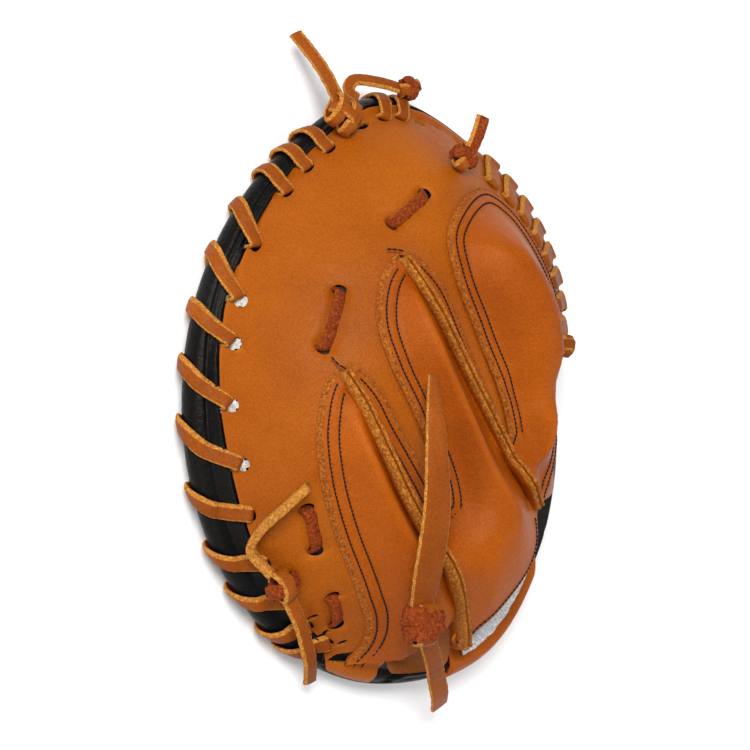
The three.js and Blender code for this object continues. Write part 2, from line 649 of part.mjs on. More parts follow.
// A wall along a seam, from below to above the underside of the hand panels
function seamWall(line, width, below, above, extend = 0) {
  const ends = [line[0].clone().sub(line[1]), line.at(-1).clone().sub(line.at(-2))];
  const stations = line.map((spot, index) => {
    const at = new THREE.Vector3(spot.x, spot.y, 0);
    if (index === 0) at.addScaledVector(ends[0].normalize(), extend);
    if (index === line.length - 1) at.addScaledVector(ends[1].normalize(), extend);
    at.z = handHeight(spot.x, spot.y) + (above - below) / 2;
    return { at, out: new THREE.Vector3(0, 0, 1), width };
  });
  return strip(stations, above + below);
}

// Clearance cut for a welt
function seamSlotOf(line) {
  return seamWall(line, WELT_WIDTH + SLOT, 12, 20, 6);
}

// Leather lining over the heel's floor, where the mouth shows it
function heelLining() {
  const sheet = gridSolid(handBox,
    (x, y) => handFloor(x, y) + GAP,
    (x, y) => handFloor(x, y) + GAP + LINING_LEATHER);
  return sheet.intersect(prism(LINING_REGION)).intersect(prism(rimOutline(BAND_REACH + GAP)));
}

// A bare white label on the lining, along the heel's band
function heelLabel() {
  const low = LINING_LEATHER + 2 * GAP;
  const sheet = gridSolid(handBox,
    (x, y) => handFloor(x, y) + low,
    (x, y) => handFloor(x, y) + low + LABEL_THICK);
  const angles = [313, 308, 303, 298, 293, 287].map(radians);
  const outer = angles.map((angle) => rimPlace(angle, BAND_REACH + 2, 0));
  const inner = angles.map((angle) => rimPlace(angle, BAND_REACH + LABEL_WIDTH, 0)).reverse();
  return sheet.intersect(prism([...outer, ...inner]));
}

// The turned-in edge of the middle panel, under its free edge
function wristHem() {
  const low = GAP + LINING_LEATHER;
  const sheet = gridSolid(handBox,
    (x, y) => handHeight(x, y) - low,
    (x, y) => handHeight(x, y) - GAP);
  const stations = HEM_LINE.map((spot) => ({
    at: new THREE.Vector3(spot.x, spot.y, 60), out: new THREE.Vector3(0, 0, 1), width: 2 * HEM_WIDTH,
  }));
  return sheet.intersect(strip(stations, 100)).intersect(sewnPrism);
}

const group = new THREE.Group();

function addPiece(name, solid, color, roughness) {
  const mesh = solid.getMesh();
  const geometry = new THREE.BufferGeometry();
  geometry.setAttribute("position", new THREE.Float32BufferAttribute(mesh.vertProperties, 3));
  geometry.setIndex(new THREE.Uint32BufferAttribute(mesh.triVerts, 1));
  geometry.translate(-ORIGIN.x, -ORIGIN.y, 0);
  const material = new THREE.MeshStandardMaterial({ color, roughness, metalness: 0 });
  const piece = new THREE.Mesh(geometry, material);
  piece.name = name;
  group.add(piece);
}

const rimLaces = [
  { name: "rim_lace_finger", stations: whipStations(FINGER_HOLES) },
  { name: "rim_lace_thumb", stations: whipStations(THUMB_HOLES) },
  { name: "rim_lace_top", stations: whipStations(TOP_HOLES) },
];
const staples = POCKET_LACES.map(({ name, from, to }) => ({ name, stations: stapleStations(from, to) }));
const laceSlots = [...rimLaces, ...staples].map(({ stations }) => strip(stations, LACE_THICK, SLOT));

const mouth = prism(MOUTH_REGION);
const hollowPrism = prism(hollowOutline(HOLLOW_INSET)).add(mouth);
const handHollow = gridSolid(handBox, handFloor, () => 180).intersect(hollowPrism);
const hem = wristHem().subtract(seamSlotOf(LITTLE_LINE)).subtract(seamSlotOf(MIDDLE_LINE));

// The hand panels: one puffed sheet, parted at the seams
const handSheet = gridSolid(handBox, handHeight, (x, y) => handHeight(x, y) + HAND_LEATHER)
  .intersect(sewnPrism)
  .subtract(seamSlotOf(LITTLE_LINE))
  .subtract(seamSlotOf(MIDDLE_LINE));
const littleSide = prism([
  ...LITTLE_LINE, { x: 30, y: -150 }, { x: 30, y: -200 }, { x: -200, y: -200 }, { x: -200, y: 30 },
  { x: -78, y: 30 },
].reverse());
const thumbSide = prism([
  ...MIDDLE_LINE, { x: 68, y: -64 }, { x: 200, y: -64 }, { x: 200, y: 200 }, { x: -42, y: 200 },
  { x: -42, y: 74 },
]);

addPiece("palm_pad", palmPad([handHollow, ...laceSlots]), BLACK, 0.45);
addPiece("back_panel", backPanel(prism(inset(sewnOutline, 7)).add(mouth), laceSlots), TAN, 0.5);
addPiece("hand_panel_little", handSheet.intersect(littleSide), TAN, 0.5);
addPiece("hand_panel_middle", handSheet.subtract(littleSide).subtract(thumbSide), TAN, 0.5);
addPiece("hand_panel_thumb", handSheet.intersect(thumbSide), TAN, 0.5);
addPiece("seam_welt_little", seamWall(LITTLE_LINE, WELT_WIDTH, -1, WELT_HEIGHT), RAW_EDGE, 0.8);
addPiece("seam_welt_middle", seamWall(MIDDLE_LINE, WELT_WIDTH, -1, WELT_HEIGHT), RAW_EDGE, 0.8);
addPiece("wrist_hem", hem, TAN, 0.6);
addPiece("heel_band", rimStrip(HEEL_STEPS.from, HEEL_STEPS.to, heelSection), TAN, 0.5);
addPiece("heel_lining", heelLining(), TAN, 0.6);
addPiece("wrist_label", heelLabel(), WHITE, 0.7);
rimLaces.forEach(({ name, stations }) => addPiece(name, strip(stations, LACE_THICK), LACE_TAN, 0.6));
staples.forEach(({ name, stations }) => addPiece(name, strip(stations, LACE_THICK), LACE_TAN, 0.7));
KNOTS.forEach((knot) => addPiece(knot.name, knotSolid(knot), LACE_TAN, 0.8));
addPiece("top_strand", strip(freeStations(TOP_STRAND), LACE_THICK), LACE_TAN, 0.6);
FREE_ENDS.forEach(({ name, rows }) => {
  addPiece(name, strip(freeStations(rows), LACE_THICK), LACE_TAN, 0.6);
});

export default group;
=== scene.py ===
"""Looks of a catcher's mitt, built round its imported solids.

Tables and shapes are in millimetres in the layout of the part's source: +Y from the heel to the
web, +X to the thumb side, +Z out of the back. Each finished mesh is moved by -ORIGIN and scaled
to metres, which is the row frame.
"""

import math

import bpy
import numpy as np
from mathutils import Matrix, Vector, geometry, noise


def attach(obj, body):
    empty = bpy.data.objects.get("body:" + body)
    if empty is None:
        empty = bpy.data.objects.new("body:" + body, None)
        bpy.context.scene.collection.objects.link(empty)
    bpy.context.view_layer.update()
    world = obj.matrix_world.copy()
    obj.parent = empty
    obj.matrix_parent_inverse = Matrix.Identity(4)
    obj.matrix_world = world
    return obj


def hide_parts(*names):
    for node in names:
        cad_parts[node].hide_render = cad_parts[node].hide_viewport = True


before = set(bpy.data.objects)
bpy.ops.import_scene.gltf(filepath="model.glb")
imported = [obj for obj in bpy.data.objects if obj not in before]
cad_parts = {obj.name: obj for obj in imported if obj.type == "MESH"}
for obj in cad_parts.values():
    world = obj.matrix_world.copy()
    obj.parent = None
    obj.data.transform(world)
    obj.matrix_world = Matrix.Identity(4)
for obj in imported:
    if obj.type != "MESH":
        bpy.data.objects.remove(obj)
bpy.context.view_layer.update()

MM = 0.001
ORIGIN = np.array((-9.0, 3.0, 0.0))
SEED = 33
RANDOM = np.random.default_rng(SEED)
noise.seed_set(SEED)

# Driving sizes, as in the part's source
CENTRE_X = -9
BACK_TOP = 84
ROLL_WIDTH = 10
REST_WIDTH = 16
POCKET_DEPTH = 46
PANEL_INSET = 8
BACK_LEATHER = 3
HAND_LEATHER = 2.5
SEAT = 0.7
SEWN_BAND = 11
PUFF_RISE = 20
PUFF_RUN = 32
VALLEY_DEPTH = 5
VALLEY_REACH = 9
WRIST_TAPER = 50
WRIST_SHARE = 0.35
HEEL_FLOOR = 30
STALL_DEPTH = 10
PALM_DEPTH = 24
BAND_REACH = 20
LACE_WIDTH = 7.5
LACE_THICK = 2.2
LACE_LIFT = 2.3
# Where the hand panels start to rise inside the rim, how fast, and where the wrist takes over
RIM_CLEAR = 20
RIM_TAPER = 45
WRIST_BLEND_FROM = -10
WRIST_BLEND = 40
# Floor of the hollow for the hand: its start inside the sewn edge, and where it deepens to the wrist
FLOOR_INSET = 12
FLOOR_RUN = 12
FLOOR_ROOF = 3
DEEPEN_FROM = 20
DEEPEN_RUN = 80
HEEL_INSET = 16
PAD_GAP = 0.3
# How far in the tan back starts at the heel and beside the thumb
HEEL_EDGE = 0.4
THUMB_EDGE = 36

# The rim round the middle, every 22.5 degrees: its reach, its foot and top heights, the dome's run, and
# how far in the tan back starts
RIM = {
    "reach": (115.5, 127.5, 136.5, 145, 156, 139.5, 127, 120, 118.5, 123, 133, 146, 157, 158, 141, 127),
    "foot": (3.5, 3.5, 3.5, 2, 0, 3.5, 3.5, 3.5, 3.5, 3.5, 3.5, 3, 0, 0, 0, 0),
    "top": (34, 36, 37, 34, 27, 22, 22, 22, 22, 22, 22, 23, 27, 33, 33, 31),
    "run": (86, 88, 90, 95, 100, 100, 95, 88, 86, 88, 92, 95, 95, 90, 82, 80),
    "edge": (6, 5, 4, 3, 4, 8, 10, 10, 12, 14, 14, 12, 8, 8, 8, 8),
}

# Sewn edge of the hand panels, from the heel up the little finger stall and back down the thumb
SEWN_EDGE = [
    (-38, -143), (-36, -132), (-40, -120), (-49, -106), (-67, -76), (-79, -46), (-83, -18),
    (-78, 7), (-69, 13), (-57, 2), (-46, -18), (-31, -41), (-18, -59), (-20, -47), (-35, -16),
    (-50, 12), (-55, 34), (-49, 58), (-36, 70), (-24, 61), (-8, 32), (11, -4), (23, -24),
    (19, -6), (2, 29), (-11, 58), (-12, 80), (4, 98), (27, 107), (45, 100), (60, 84), (72, 66),
    (80, 46), (82, 20), (79, -6), (72, -31), (56, -59),
]
HEM_EDGE = [(49, -62), (50.5, -76), (45, -91), (33, -110), (24, -125), (19, -135)]
LITTLE_WRIST_EDGE = [(14, -127), (4, -120), (-4, -130), (-14, -141)]
LITTLE_SEAM = [(-73, 10), (-64, -7), (-54, -31), (-43, -54), (-18, -88), (5, -114), (23, -136)]
MIDDLE_SEAM = [(-38, 67), (-25, 42), (-10, 17), (5, -7), (21, -32), (31, -48), (47, -61)]

# Lace holes round the rim, clockwise: direction in degrees and distance inside the outline
FINGER_HOLES = [
    (252.5, 12), (246, 13), (238, 14), (227, 15), (214, 17), (200, 17), (183.3, 15),
    (166, 14.5), (154, 13.5), (139, 13), (122.5, 12.5), (114.5, 12), (107.5, 12), (98, 12),
]
THUMB_HOLES = [(angle, 22) for angle in (65, 58.5, 52, 45.5, 39, 32.5, 26, 19.5, 13.5)]
TOP_HOLES = [(angle, 12) for angle in (92.4, 88.2, 84)]

POCKET_LACES = {
    "pocket_lace_web": ((-35, 85), (-16, 100)),
    "pocket_lace_finger": ((-77, 22), (-67, 49)),
    "pocket_lace_little": ((-80, -60), (-73, -79)),
    "pocket_lace_heel": ((-58, -106), (-51, -119)),
}

# Free lace ends along their middles: x, y, z and width
FREE_ENDS = {
    "top_tail": [
        (-43.5, 146.5, 30, 7.5), (-46.5, 153.5, 29.5, 7.5), (-51, 163, 27.5, 7.5), (-56, 174, 22, 7.5),
        (-60.5, 185.5, 13, 7.5),
    ],
    "wrist_tail_long": [
        (-27, -111, 77, 12), (-34, -93, 91, 14), (-38, -75, 101, 14), (-40, -55, 107, 13),
        (-41, -32, 108, 11), (-40, -10, 105, 8), (-37, 8, 100, 5),
    ],
    "wrist_tail_short": [
        (-19, -125.2, 70.8, 7.5), (-5, -140, 58.5, 7.8), (6, -152, 47, 8.2), (15, -162, 38, 8.4),
        (23, -170, 27, 8.2),
    ],
    "finger_tail_upper": [
        (-91.4, -92.4, 38, 7.5), (-101, -80, 34, 7.5), (-101, -69, 43, 7.5), (-96, -58, 56, 7.5),
        (-90, -47, 68, 7.5),
    ],
    "finger_tail_lower": [
        (-82.4, -104.6, 39.2, 7.5), (-74.5, -118, 38, 7.5), (-67, -131, 33, 7.5),
        (-60, -142, 26, 7.5), (-53, -152, 15, 7.5),
    ],
}
TOP_STRAND = [
    (-32.4, 152.2, 29.4), (-37.5, 156, 28.6), (-34, 161.5, 27.5), (-25, 162.5, 27),
    (-13, 161.5, 27.5), (-4, 160.2, 26.8),
]

# Knots: place, sizes along and up, and each strap's way across, width, shift and grain or flesh side
KNOTS = {
    "top_knot": ((-43, 143, 31.2), 10, 6.5, [(62, 7, -4.5, 0), (62, 7, 4.5, 0), (150, 6, 0, 0)]),
    "top_loop_knot": ((3.3, 160.6, 26), 7, 6, [(20, 6.5, 0, 0), (100, 6, 0, 1)]),
    "web_knot": ((14, 122, 59.7), 8, 6, [(60, 7.5, 0, 0), (150, 6.5, 0, 1)]),
    "wrist_knot": ((-26, -117, 76.5), 13, 9, [(95, 12, 0, 0), (-12, 10.5, 2, 1), (16, 9.5, -3, 1)]),
    "finger_knot": ((-86, -98, 39.4), 10, 6.5, [(28, 8, 0, 1), (115, 8, 0, 0)]),
    "thumb_knot": ((90, 24, 52.8), 6, 5, [(80, 7.5, 0, 0), (170, 7, 0, 0)]),
}


# Fields over the plan


def unit(vectors):
    """Vectors with a length of one."""
    vectors = np.asarray(vectors, float)
    return vectors / np.linalg.norm(vectors, axis=-1, keepdims=True)


def looped(outline):
    """An outline as a line that ends where it starts."""
    return np.vstack([outline, outline[:1]])


def between(a, b, c, d, part):
    """A smooth curve's place a part of the way from b to c, with a before them and d after."""
    slope = (c - a) * part
    bend = (2 * a - 5 * b + 4 * c - d) * part**2
    twist = (3 * b - 3 * c + d - a) * part**3
    return 0.5 * (2 * b + slope + bend + twist)


def rim_value(column, angle):
    """A line of the rim table at any angle, as a smooth curve."""
    rows = np.array(RIM[column], float)
    place = np.asarray(angle, float) / (2 * math.pi) % 1 * len(rows)
    row = np.floor(place).astype(int)
    a, b, c, d = (rows[(row + shift) % len(rows)] for shift in (-1, 0, 1, 2))
    return between(a, b, c, d, place - row)


def polar(x, y):
    """Angle round the middle and distance from it."""
    return np.arctan2(y, x - CENTRE_X), np.hypot(x - CENTRE_X, y)


def rim_inset(x, y):
    """Angle round the middle and distance inside the rim's outline."""
    angle, reach = polar(x, y)
    return angle, rim_value("reach", angle) - reach


def rim_place(angle, within):
    """Places in plan at angles round the rim and distances inside it."""
    out = rim_value("reach", angle) - within
    return np.stack([CENTRE_X + out * np.cos(angle), out * np.sin(angle)], axis=-1)


def foot_height(angle):
    return np.maximum(0, rim_value("foot", angle))


def panel_edge(angle):
    """How far in the tan back starts: at the very rim by the heel, and beside the thumb at its panel."""
    turn = np.degrees(angle) % 360
    heel = smooth_step(turn, 251, 257) * (1 - smooth_step(turn, 270, 274))
    thumb = smooth_step(turn, 322, 334) * (1 - smooth_step(turn, 345, 358))
    edge = rim_value("edge", angle)
    return edge + (HEEL_EDGE - edge) * heel + (THUMB_EDGE - edge) * thumb


def smooth_step(value, low, high):
    part = np.clip((np.asarray(value, float) - low) / (high - low), 0, 1)
    return part * part * (3 - 2 * part)


def dome(x, y):
    """Height of the back's outside."""
    angle, inward = rim_inset(x, y)
    share = np.clip((inward - PANEL_INSET) / rim_value("run", angle), 0, 1)
    top = rim_value("top", angle)
    return top + (BACK_TOP - top) * (1 - (1 - share) ** 2)


def pocket(x, y):
    """Height of the pocket's ceiling."""
    angle, reach = polar(x, y)
    share = np.clip(reach / (rim_value("reach", angle) - ROLL_WIDTH - REST_WIDTH), 0, 1)
    foot = foot_height(angle)
    return foot + (POCKET_DEPTH - foot) * (1 - share**2) ** 2


def blend(a, b, start, end, t):
    """What lies between a at the start and b at the end, at t."""
    return ((end - t) * a + (t - start) * b) / (end - start)


def smooth_line(rows, spacing):
    """Evenly spaced points on a centripetal curve through rows."""
    rows = np.array(rows, float)
    ends = np.vstack([2 * rows[0] - rows[1], rows, 2 * rows[-1] - rows[-2]])
    found = []
    for index in range(1, len(ends) - 2):
        near = ends[index - 1 : index + 3]
        t0, t1, t2, t3 = np.cumsum([0, *np.linalg.norm(np.diff(near, axis=0), axis=1) ** 0.5])
        for t in np.linspace(t1, t2, 24, endpoint=False):
            a1 = blend(near[0], near[1], t0, t1, t)
            a2 = blend(near[1], near[2], t1, t2, t)
            a3 = blend(near[2], near[3], t2, t3, t)
            found.append(blend(blend(a1, a2, t0, t2, t), blend(a2, a3, t1, t3, t), t1, t2, t))
    return spaced(np.array([*found, rows[-1]]), spacing)


def spaced(points, spacing):
    """The same line with even steps of about the spacing; columns after the third ride along."""
    steps = np.linalg.norm(np.diff(points[:, :3], axis=0), axis=1)
    along = np.concatenate([[0], np.cumsum(steps)])
    places = np.linspace(0, along[-1], max(2, round(along[-1] / spacing) + 1))
    return np.stack([np.interp(places, along, column) for column in np.transpose(points)], axis=1)


def moved(line, apart):
    """A line in plan moved sideways, to its right."""
    along = unit(np.gradient(line, axis=0))
    return line + apart * np.stack([along[:, 1], -along[:, 0]], axis=1)


def distance_to(line, x, y):
    """Shortest distance in plan from points to an open line."""
    x, y = np.atleast_1d(np.asarray(x, float)), np.atleast_1d(np.asarray(y, float))
    nearest = np.full(x.shape, np.inf)
    for start, end in zip(line[:-1], line[1:]):
        dx, dy = end[0] - start[0], end[1] - start[1]
        part = np.clip(((x - start[0]) * dx + (y - start[1]) * dy) / (dx * dx + dy * dy), 0, 1)
        nearest = np.minimum(nearest, np.hypot(x - start[0] - part * dx, y - start[1] - part * dy))
    return nearest


def inside(outline, x, y):
    """Whether points lie inside a closed outline."""
    x, y = np.atleast_1d(x), np.atleast_1d(y)
    found = np.zeros(x.shape, bool)
    for (x0, y0), (x1, y1) in zip(outline, np.roll(outline, -1, axis=0)):
        if y0 == y1:
            continue
        crosses = (y0 > y) != (y1 > y)
        found ^= crosses & (x < (x1 - x0) * (y - y0) / (y1 - y0) + x0)
    return found


SEWN_LINE = smooth_line(SEWN_EDGE, 2.2)
HEM_LINE = smooth_line(HEM_EDGE, 2.2)
WRIST_LINE = smooth_line(HEM_EDGE + LITTLE_WRIST_EDGE, 2.2)
LITTLE_LINE = smooth_line(LITTLE_SEAM, 2.2)
MIDDLE_LINE = smooth_line(MIDDLE_SEAM, 2.2)
SEWN_OUTLINE = np.vstack([SEWN_LINE, WRIST_LINE])


def ripple(x, y, size, seed):
    """Smooth noise over the plan from -1 to 1, with bumps of about the size."""
    return np.array([noise.noise((a / size, b / size, seed)) for a, b in zip(np.ravel(x), np.ravel(y))])


def seam_distance(x, y):
    return np.minimum(distance_to(LITTLE_LINE, x, y), distance_to(MIDDLE_LINE, x, y))


def hand_height(x, y):
    """Underside of the hand panels."""
    share = np.clip((distance_to(SEWN_LINE, x, y) - SEWN_BAND) / PUFF_RUN, 0, 1)
    wrist = np.clip(distance_to(WRIST_LINE, x, y) / WRIST_TAPER, 0, 1)
    from_rim = (rim_inset(x, y)[1] - RIM_CLEAR) / RIM_TAPER
    rim_side = np.clip(np.maximum(from_rim, (WRIST_BLEND_FROM - y) / WRIST_BLEND), 0, 1)
    puff = PUFF_RISE * (1 - (1 - share) ** 2) * (WRIST_SHARE + (1 - WRIST_SHARE) * wrist)
    valley = VALLEY_DEPTH * share * np.exp(-((seam_distance(x, y) / VALLEY_REACH) ** 2))
    return dome(x, y) + SEAT + puff * rim_side - valley


def hand_floor(x, y):
    """Floor of the hollow for the hand."""
    share = np.clip((distance_to(SEWN_LINE, x, y) - FLOOR_INSET) / FLOOR_RUN, 0, 1)
    depth = STALL_DEPTH + (PALM_DEPTH - STALL_DEPTH) * np.clip((DEEPEN_FROM - y) / DEEPEN_RUN, 0, 1)
    pad_top = dome(x, y) - BACK_LEATHER - PAD_GAP
    floor = np.maximum(pad_top - FLOOR_ROOF - depth * share, HEEL_FLOOR)
    within = np.clip((rim_inset(x, y)[1] - BAND_REACH - HEEL_INSET) / FLOOR_RUN, 0, 1)
    return HEEL_FLOOR + (floor - HEEL_FLOOR) * within


# Materials


def new_material(name):
    material = bpy.data.materials.new(name)
    material.use_nodes = True
    return material, material.node_tree, material.node_tree.nodes["Principled BSDF"]


def wire(tree, node, inputs):
    """Sets a node's inputs, each to a value or to another node's output."""
    for name, source in inputs.items():
        if isinstance(source, bpy.types.NodeSocket):
            tree.links.new(source, node.inputs[name])
        else:
            node.inputs[name].default_value = source


def add_node(tree, kind, output, inputs):
    node = tree.nodes.new(f"ShaderNode{kind}")
    wire(tree, node, inputs)
    return node.outputs[output]


def add_noise(tree, vector, scale, detail, rough):
    inputs = {"Vector": vector, "Scale": scale, "Detail": detail, "Roughness": rough}
    return add_node(tree, "TexNoise", "Fac", inputs)


def add_bump(tree, height, strength, distance):
    return add_node(tree, "Bump", "Normal", {"Height": height, "Strength": strength, "Distance": distance})


def add_ramp(tree, source, stops):
    node = tree.nodes.new("ShaderNodeValToRGB")
    ramp = node.color_ramp
    while len(ramp.elements) < len(stops):
        ramp.elements.new(0.5)
    for element, (place, color) in zip(ramp.elements, stops):
        element.position = place
        element.color = (*color, 1)
    wire(tree, node, {"Fac": source})
    return node.outputs["Color"]


def add_mix(tree, first, second, factor=1.0, mode="MULTIPLY"):
    node = tree.nodes.new("ShaderNodeMix")
    node.data_type = "RGBA"
    node.blend_type = mode
    wire(tree, node, {"Factor": factor, "A": first, "B": second})
    return node.outputs["Result"]


BLOTCH_SCALE = 14
WRINKLE_SCALE = 85
WRINKLE_WAY = 35
WRINKLE_STRETCH = 3.2
# Depths of the relief in metres
PORE_DEPTH = 0.0002
CREASE_DEPTH = 0.0009
WRINKLE_DEPTH = 0.0015
FIBRE_DEPTH = 0.0005
GRAIN_TONES = [(0.34, (0.74, 0.69, 0.62)), (0.64, (1.1, 1.08, 1.05))]
FIBRE_TONES = [(0.35, (0.55, 0.5, 0.45)), (0.62, (1.1, 1.08, 1.02))]
WORN_RANGE = [(0.52, (0, 0, 0)), (0.62, (1, 1, 1))]
WARM_SHINE = (1, 0.82, 0.6, 1)


def leather(name, dark, base, light, rough, grain, relief, wear=0.0, shine=0.24):
    """Grain leather: blotchy colour, fine pores, creases and drawn wrinkles, and worn arrises."""
    material, tree, shader = new_material(name)
    coords = tree.nodes.new("ShaderNodeTexCoord").outputs["Object"]
    blotch = add_noise(tree, coords, BLOTCH_SCALE, 6, 0.6)
    tone = add_ramp(tree, blotch, [(0.28, dark), (0.5, base), (0.74, light)])
    color = add_mix(tree, tone, add_ramp(tree, add_noise(tree, coords, grain * 0.8, 3, 0.7), GRAIN_TONES))
    if wear:
        pointed = tree.nodes.new("ShaderNodeNewGeometry").outputs["Pointiness"]
        worn = tree.nodes.new("ShaderNodeRGB").outputs[0]
        worn.default_value = (*[min(1, value * (1 + wear)) for value in light], 1)
        color = add_mix(tree, color, worn, add_ramp(tree, pointed, WORN_RANGE), "MIX")
    pores = tree.nodes.new("ShaderNodeTexVoronoi")
    pores.feature = "SMOOTH_F1"
    wire(tree, pores, {"Vector": coords, "Scale": grain})
    creases = add_noise(tree, coords, grain * 0.22, 5, 0.62)
    way = (0, 0, math.radians(WRINKLE_WAY))
    turned = {"Vector": coords, "Rotation": way, "Scale": (1, WRINKLE_STRETCH, 1)}
    wrinkles = add_noise(tree, add_node(tree, "Mapping", "Vector", turned), WRINKLE_SCALE, 5, 0.6)
    normal = add_bump(tree, pores.outputs["Distance"], relief, PORE_DEPTH)
    for height, strength, depth in ((creases, relief, CREASE_DEPTH), (wrinkles, relief * 0.5, WRINKLE_DEPTH)):
        inputs = {"Height": height, "Strength": strength, "Distance": depth, "Normal": normal}
        normal = add_node(tree, "Bump", "Normal", inputs)
    gloss = {"Value": creases, "To Min": rough - 0.09, "To Max": rough + 0.12}
    wire(tree, shader, {
        "Base Color": color,
        "Roughness": add_node(tree, "MapRange", "Result", gloss),
        "Normal": normal,
        "Specular IOR Level": shine,
        "Specular Tint": WARM_SHINE,
    })
    return material


def suede(name, dark, base, light, relief=1.0, scale=700):
    """Raw or flesh side of leather, or cloth: fibrous and matt."""
    material, tree, shader = new_material(name)
    coords = tree.nodes.new("ShaderNodeTexCoord").outputs["Object"]
    fibre = add_noise(tree, coords, scale, 8, 0.75)
    tone = add_ramp(tree, add_noise(tree, coords, scale, 5, 0.7), [(0.3, dark), (0.52, base), (0.75, light)])
    wire(tree, shader, {
        "Base Color": add_mix(tree, tone, add_ramp(tree, fibre, FIBRE_TONES)),
        "Roughness": 0.92,
        "Normal": add_bump(tree, fibre, relief, FIBRE_DEPTH),
        "Specular IOR Level": 0.15,
    })
    return material


TAN = leather("tan_leather", (0.25, 0.046, 0.001), (0.325, 0.067, 0.0015), (0.39, 0.088, 0.003),
              0.45, 1500, 0.5, 0.12, 0.14)
TAN_SMOOTH = leather("tan_panel_leather", (0.26, 0.055, 0.001), (0.315, 0.073, 0.0018), (0.37, 0.094, 0.004),
                     0.45, 1500, 0.4, 0.08, 0.14)
BLACK = leather("black_leather", (0.0015, 0.002, 0.003), (0.003, 0.0036, 0.005), (0.007, 0.008, 0.011),
                0.36, 900, 0.6, 0.6, 0.1)
LACE = leather("lace_leather", (0.18, 0.038, 0.003), (0.26, 0.06, 0.005), (0.34, 0.085, 0.009),
               0.5, 1300, 0.4, shine=0.12)
LINING = leather("lining_leather", (0.17, 0.042, 0.004), (0.24, 0.062, 0.006), (0.3, 0.085, 0.01),
                 0.5, 1300, 0.4)
RAW = suede("raw_edge", (0.22, 0.055, 0.005), (0.38, 0.125, 0.013), (0.56, 0.24, 0.045))
FUZZ_TAN = suede("lace_edge", (0.36, 0.13, 0.016), (0.5, 0.2, 0.032), (0.66, 0.33, 0.08), scale=800)
FLESH = suede("flesh_side", (0.15, 0.022, 0.003), (0.23, 0.038, 0.005), (0.34, 0.08, 0.012), 0.9)
EDGE = suede("panel_edge", (0.2, 0.045, 0.004), (0.31, 0.085, 0.008), (0.44, 0.155, 0.022))
FELT = suede("felt", (0.5, 0.5, 0.49), (0.64, 0.64, 0.63), (0.75, 0.75, 0.74), 0.7)
LABEL = suede("label_cloth", (0.5, 0.52, 0.6), (0.66, 0.68, 0.75), (0.82, 0.83, 0.87), 0.4, 900)
THREAD = suede("black_thread", (0.006, 0.006, 0.007), (0.012, 0.012, 0.014), (0.03, 0.03, 0.033), 0.5, 1500)


# Mesh making


def new_object(name, data):
    made = bpy.data.objects.new(name, data)
    bpy.context.scene.collection.objects.link(made)
    return made


def piece(name, points, faces, materials, zones=None, node=None):
    """A finished mesh from layout millimetres, riding on the one body."""
    mesh = bpy.data.meshes.new(name)
    placed = (np.asarray(points, float) - ORIGIN) * MM
    mesh.from_pydata([tuple(point) for point in placed], [], [tuple(map(int, face)) for face in faces])
    for material in materials:
        mesh.materials.append(material)
    if zones is not None:
        mesh.polygons.foreach_set("material_index", np.asarray(zones, np.int32))
    mesh.polygons.foreach_set("use_smooth", np.ones(len(faces), bool))
    mesh.update()
    made = new_object(name, mesh)
    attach(made, "root")
    if node:
        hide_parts(node)
    return made


# How near a hole's outline and a cut line the other points of a sheet may lie
HOLE_CLEAR = 0.5
LINE_CLEAR = 0.9


def cut_sheet(outline, spacing, rings=(), holes=(), keep=None, lines=()):
    """Triangles in plan inside an outline, with rows of points by its edge and sides along its cut lines."""
    points, edges = [], []
    lines = [spaced(line, spacing * 0.8) for line in lines]
    for shut, rows in ((1, [outline, *holes]), (0, lines)):
        for row in rows:
            first = len(points)
            points.extend(row)
            edges.extend((first + k, first + (k + 1) % len(row)) for k in range(len(row) - 1 + shut))
    border = looped(outline)
    low, high = outline.min(0), outline.max(0)
    rows = np.arange(low[1], high[1], spacing * 0.87)
    columns = np.arange(low[0], high[0], spacing)
    free = np.array([(x + (row % 2) * spacing / 2, y) for row, y in enumerate(rows) for x in columns])
    least = np.full(len(free), max([*rings, 0]) + spacing * 0.6)
    along = unit(np.roll(outline, -1, axis=0) - np.roll(outline, 1, axis=0))
    across = np.stack([along[:, 1], -along[:, 0]], axis=1)
    for ring in rings:
        for side in (ring, -ring):
            row = outline + side * across
            fits = distance_to(border, *row.T) > 0.97 * ring
            row = row[fits & inside(outline, *row.T)]
            free = np.vstack([free, row])
            least = np.concatenate([least, np.full(len(row), 0.9 * ring)])
    good = inside(outline, *free.T) & (distance_to(border, *free.T) > least)
    for hole in holes:
        good &= ~inside(hole, *free.T) & (distance_to(looped(hole), *free.T) > HOLE_CLEAR)
    for line in lines:
        good &= distance_to(line, *free.T) > LINE_CLEAR
    points.extend(free[good])
    found = geometry.delaunay_2d_cdt([Vector(point) for point in points], edges, [], 0, 1e-5)
    flat = np.array([tuple(point) for point in found[0]])
    faces = np.array(found[2])
    middle = flat[faces].mean(1).T
    kept = inside(outline, *middle)
    for hole in holes:
        kept &= ~inside(hole, *middle)
    if keep:
        kept &= keep(*middle)
    return used_only(flat, faces[kept])


def used_only(points, faces):
    """Points and faces without the points that no face uses."""
    used, faces = np.unique(faces, return_inverse=True)
    return points[used], faces.reshape(-1, 3)


def rim_edges(faces):
    """Edges that only one triangle uses, in that triangle's direction."""
    pairs = np.vstack([faces[:, [0, 1]], faces[:, [1, 2]], faces[:, [2, 0]]])
    keys = {tuple(pair) for pair in pairs}
    return [pair for pair in keys if pair[::-1] not in keys]


# How far apart a sheet's slope is taken
SLOPE_STEP = 0.4


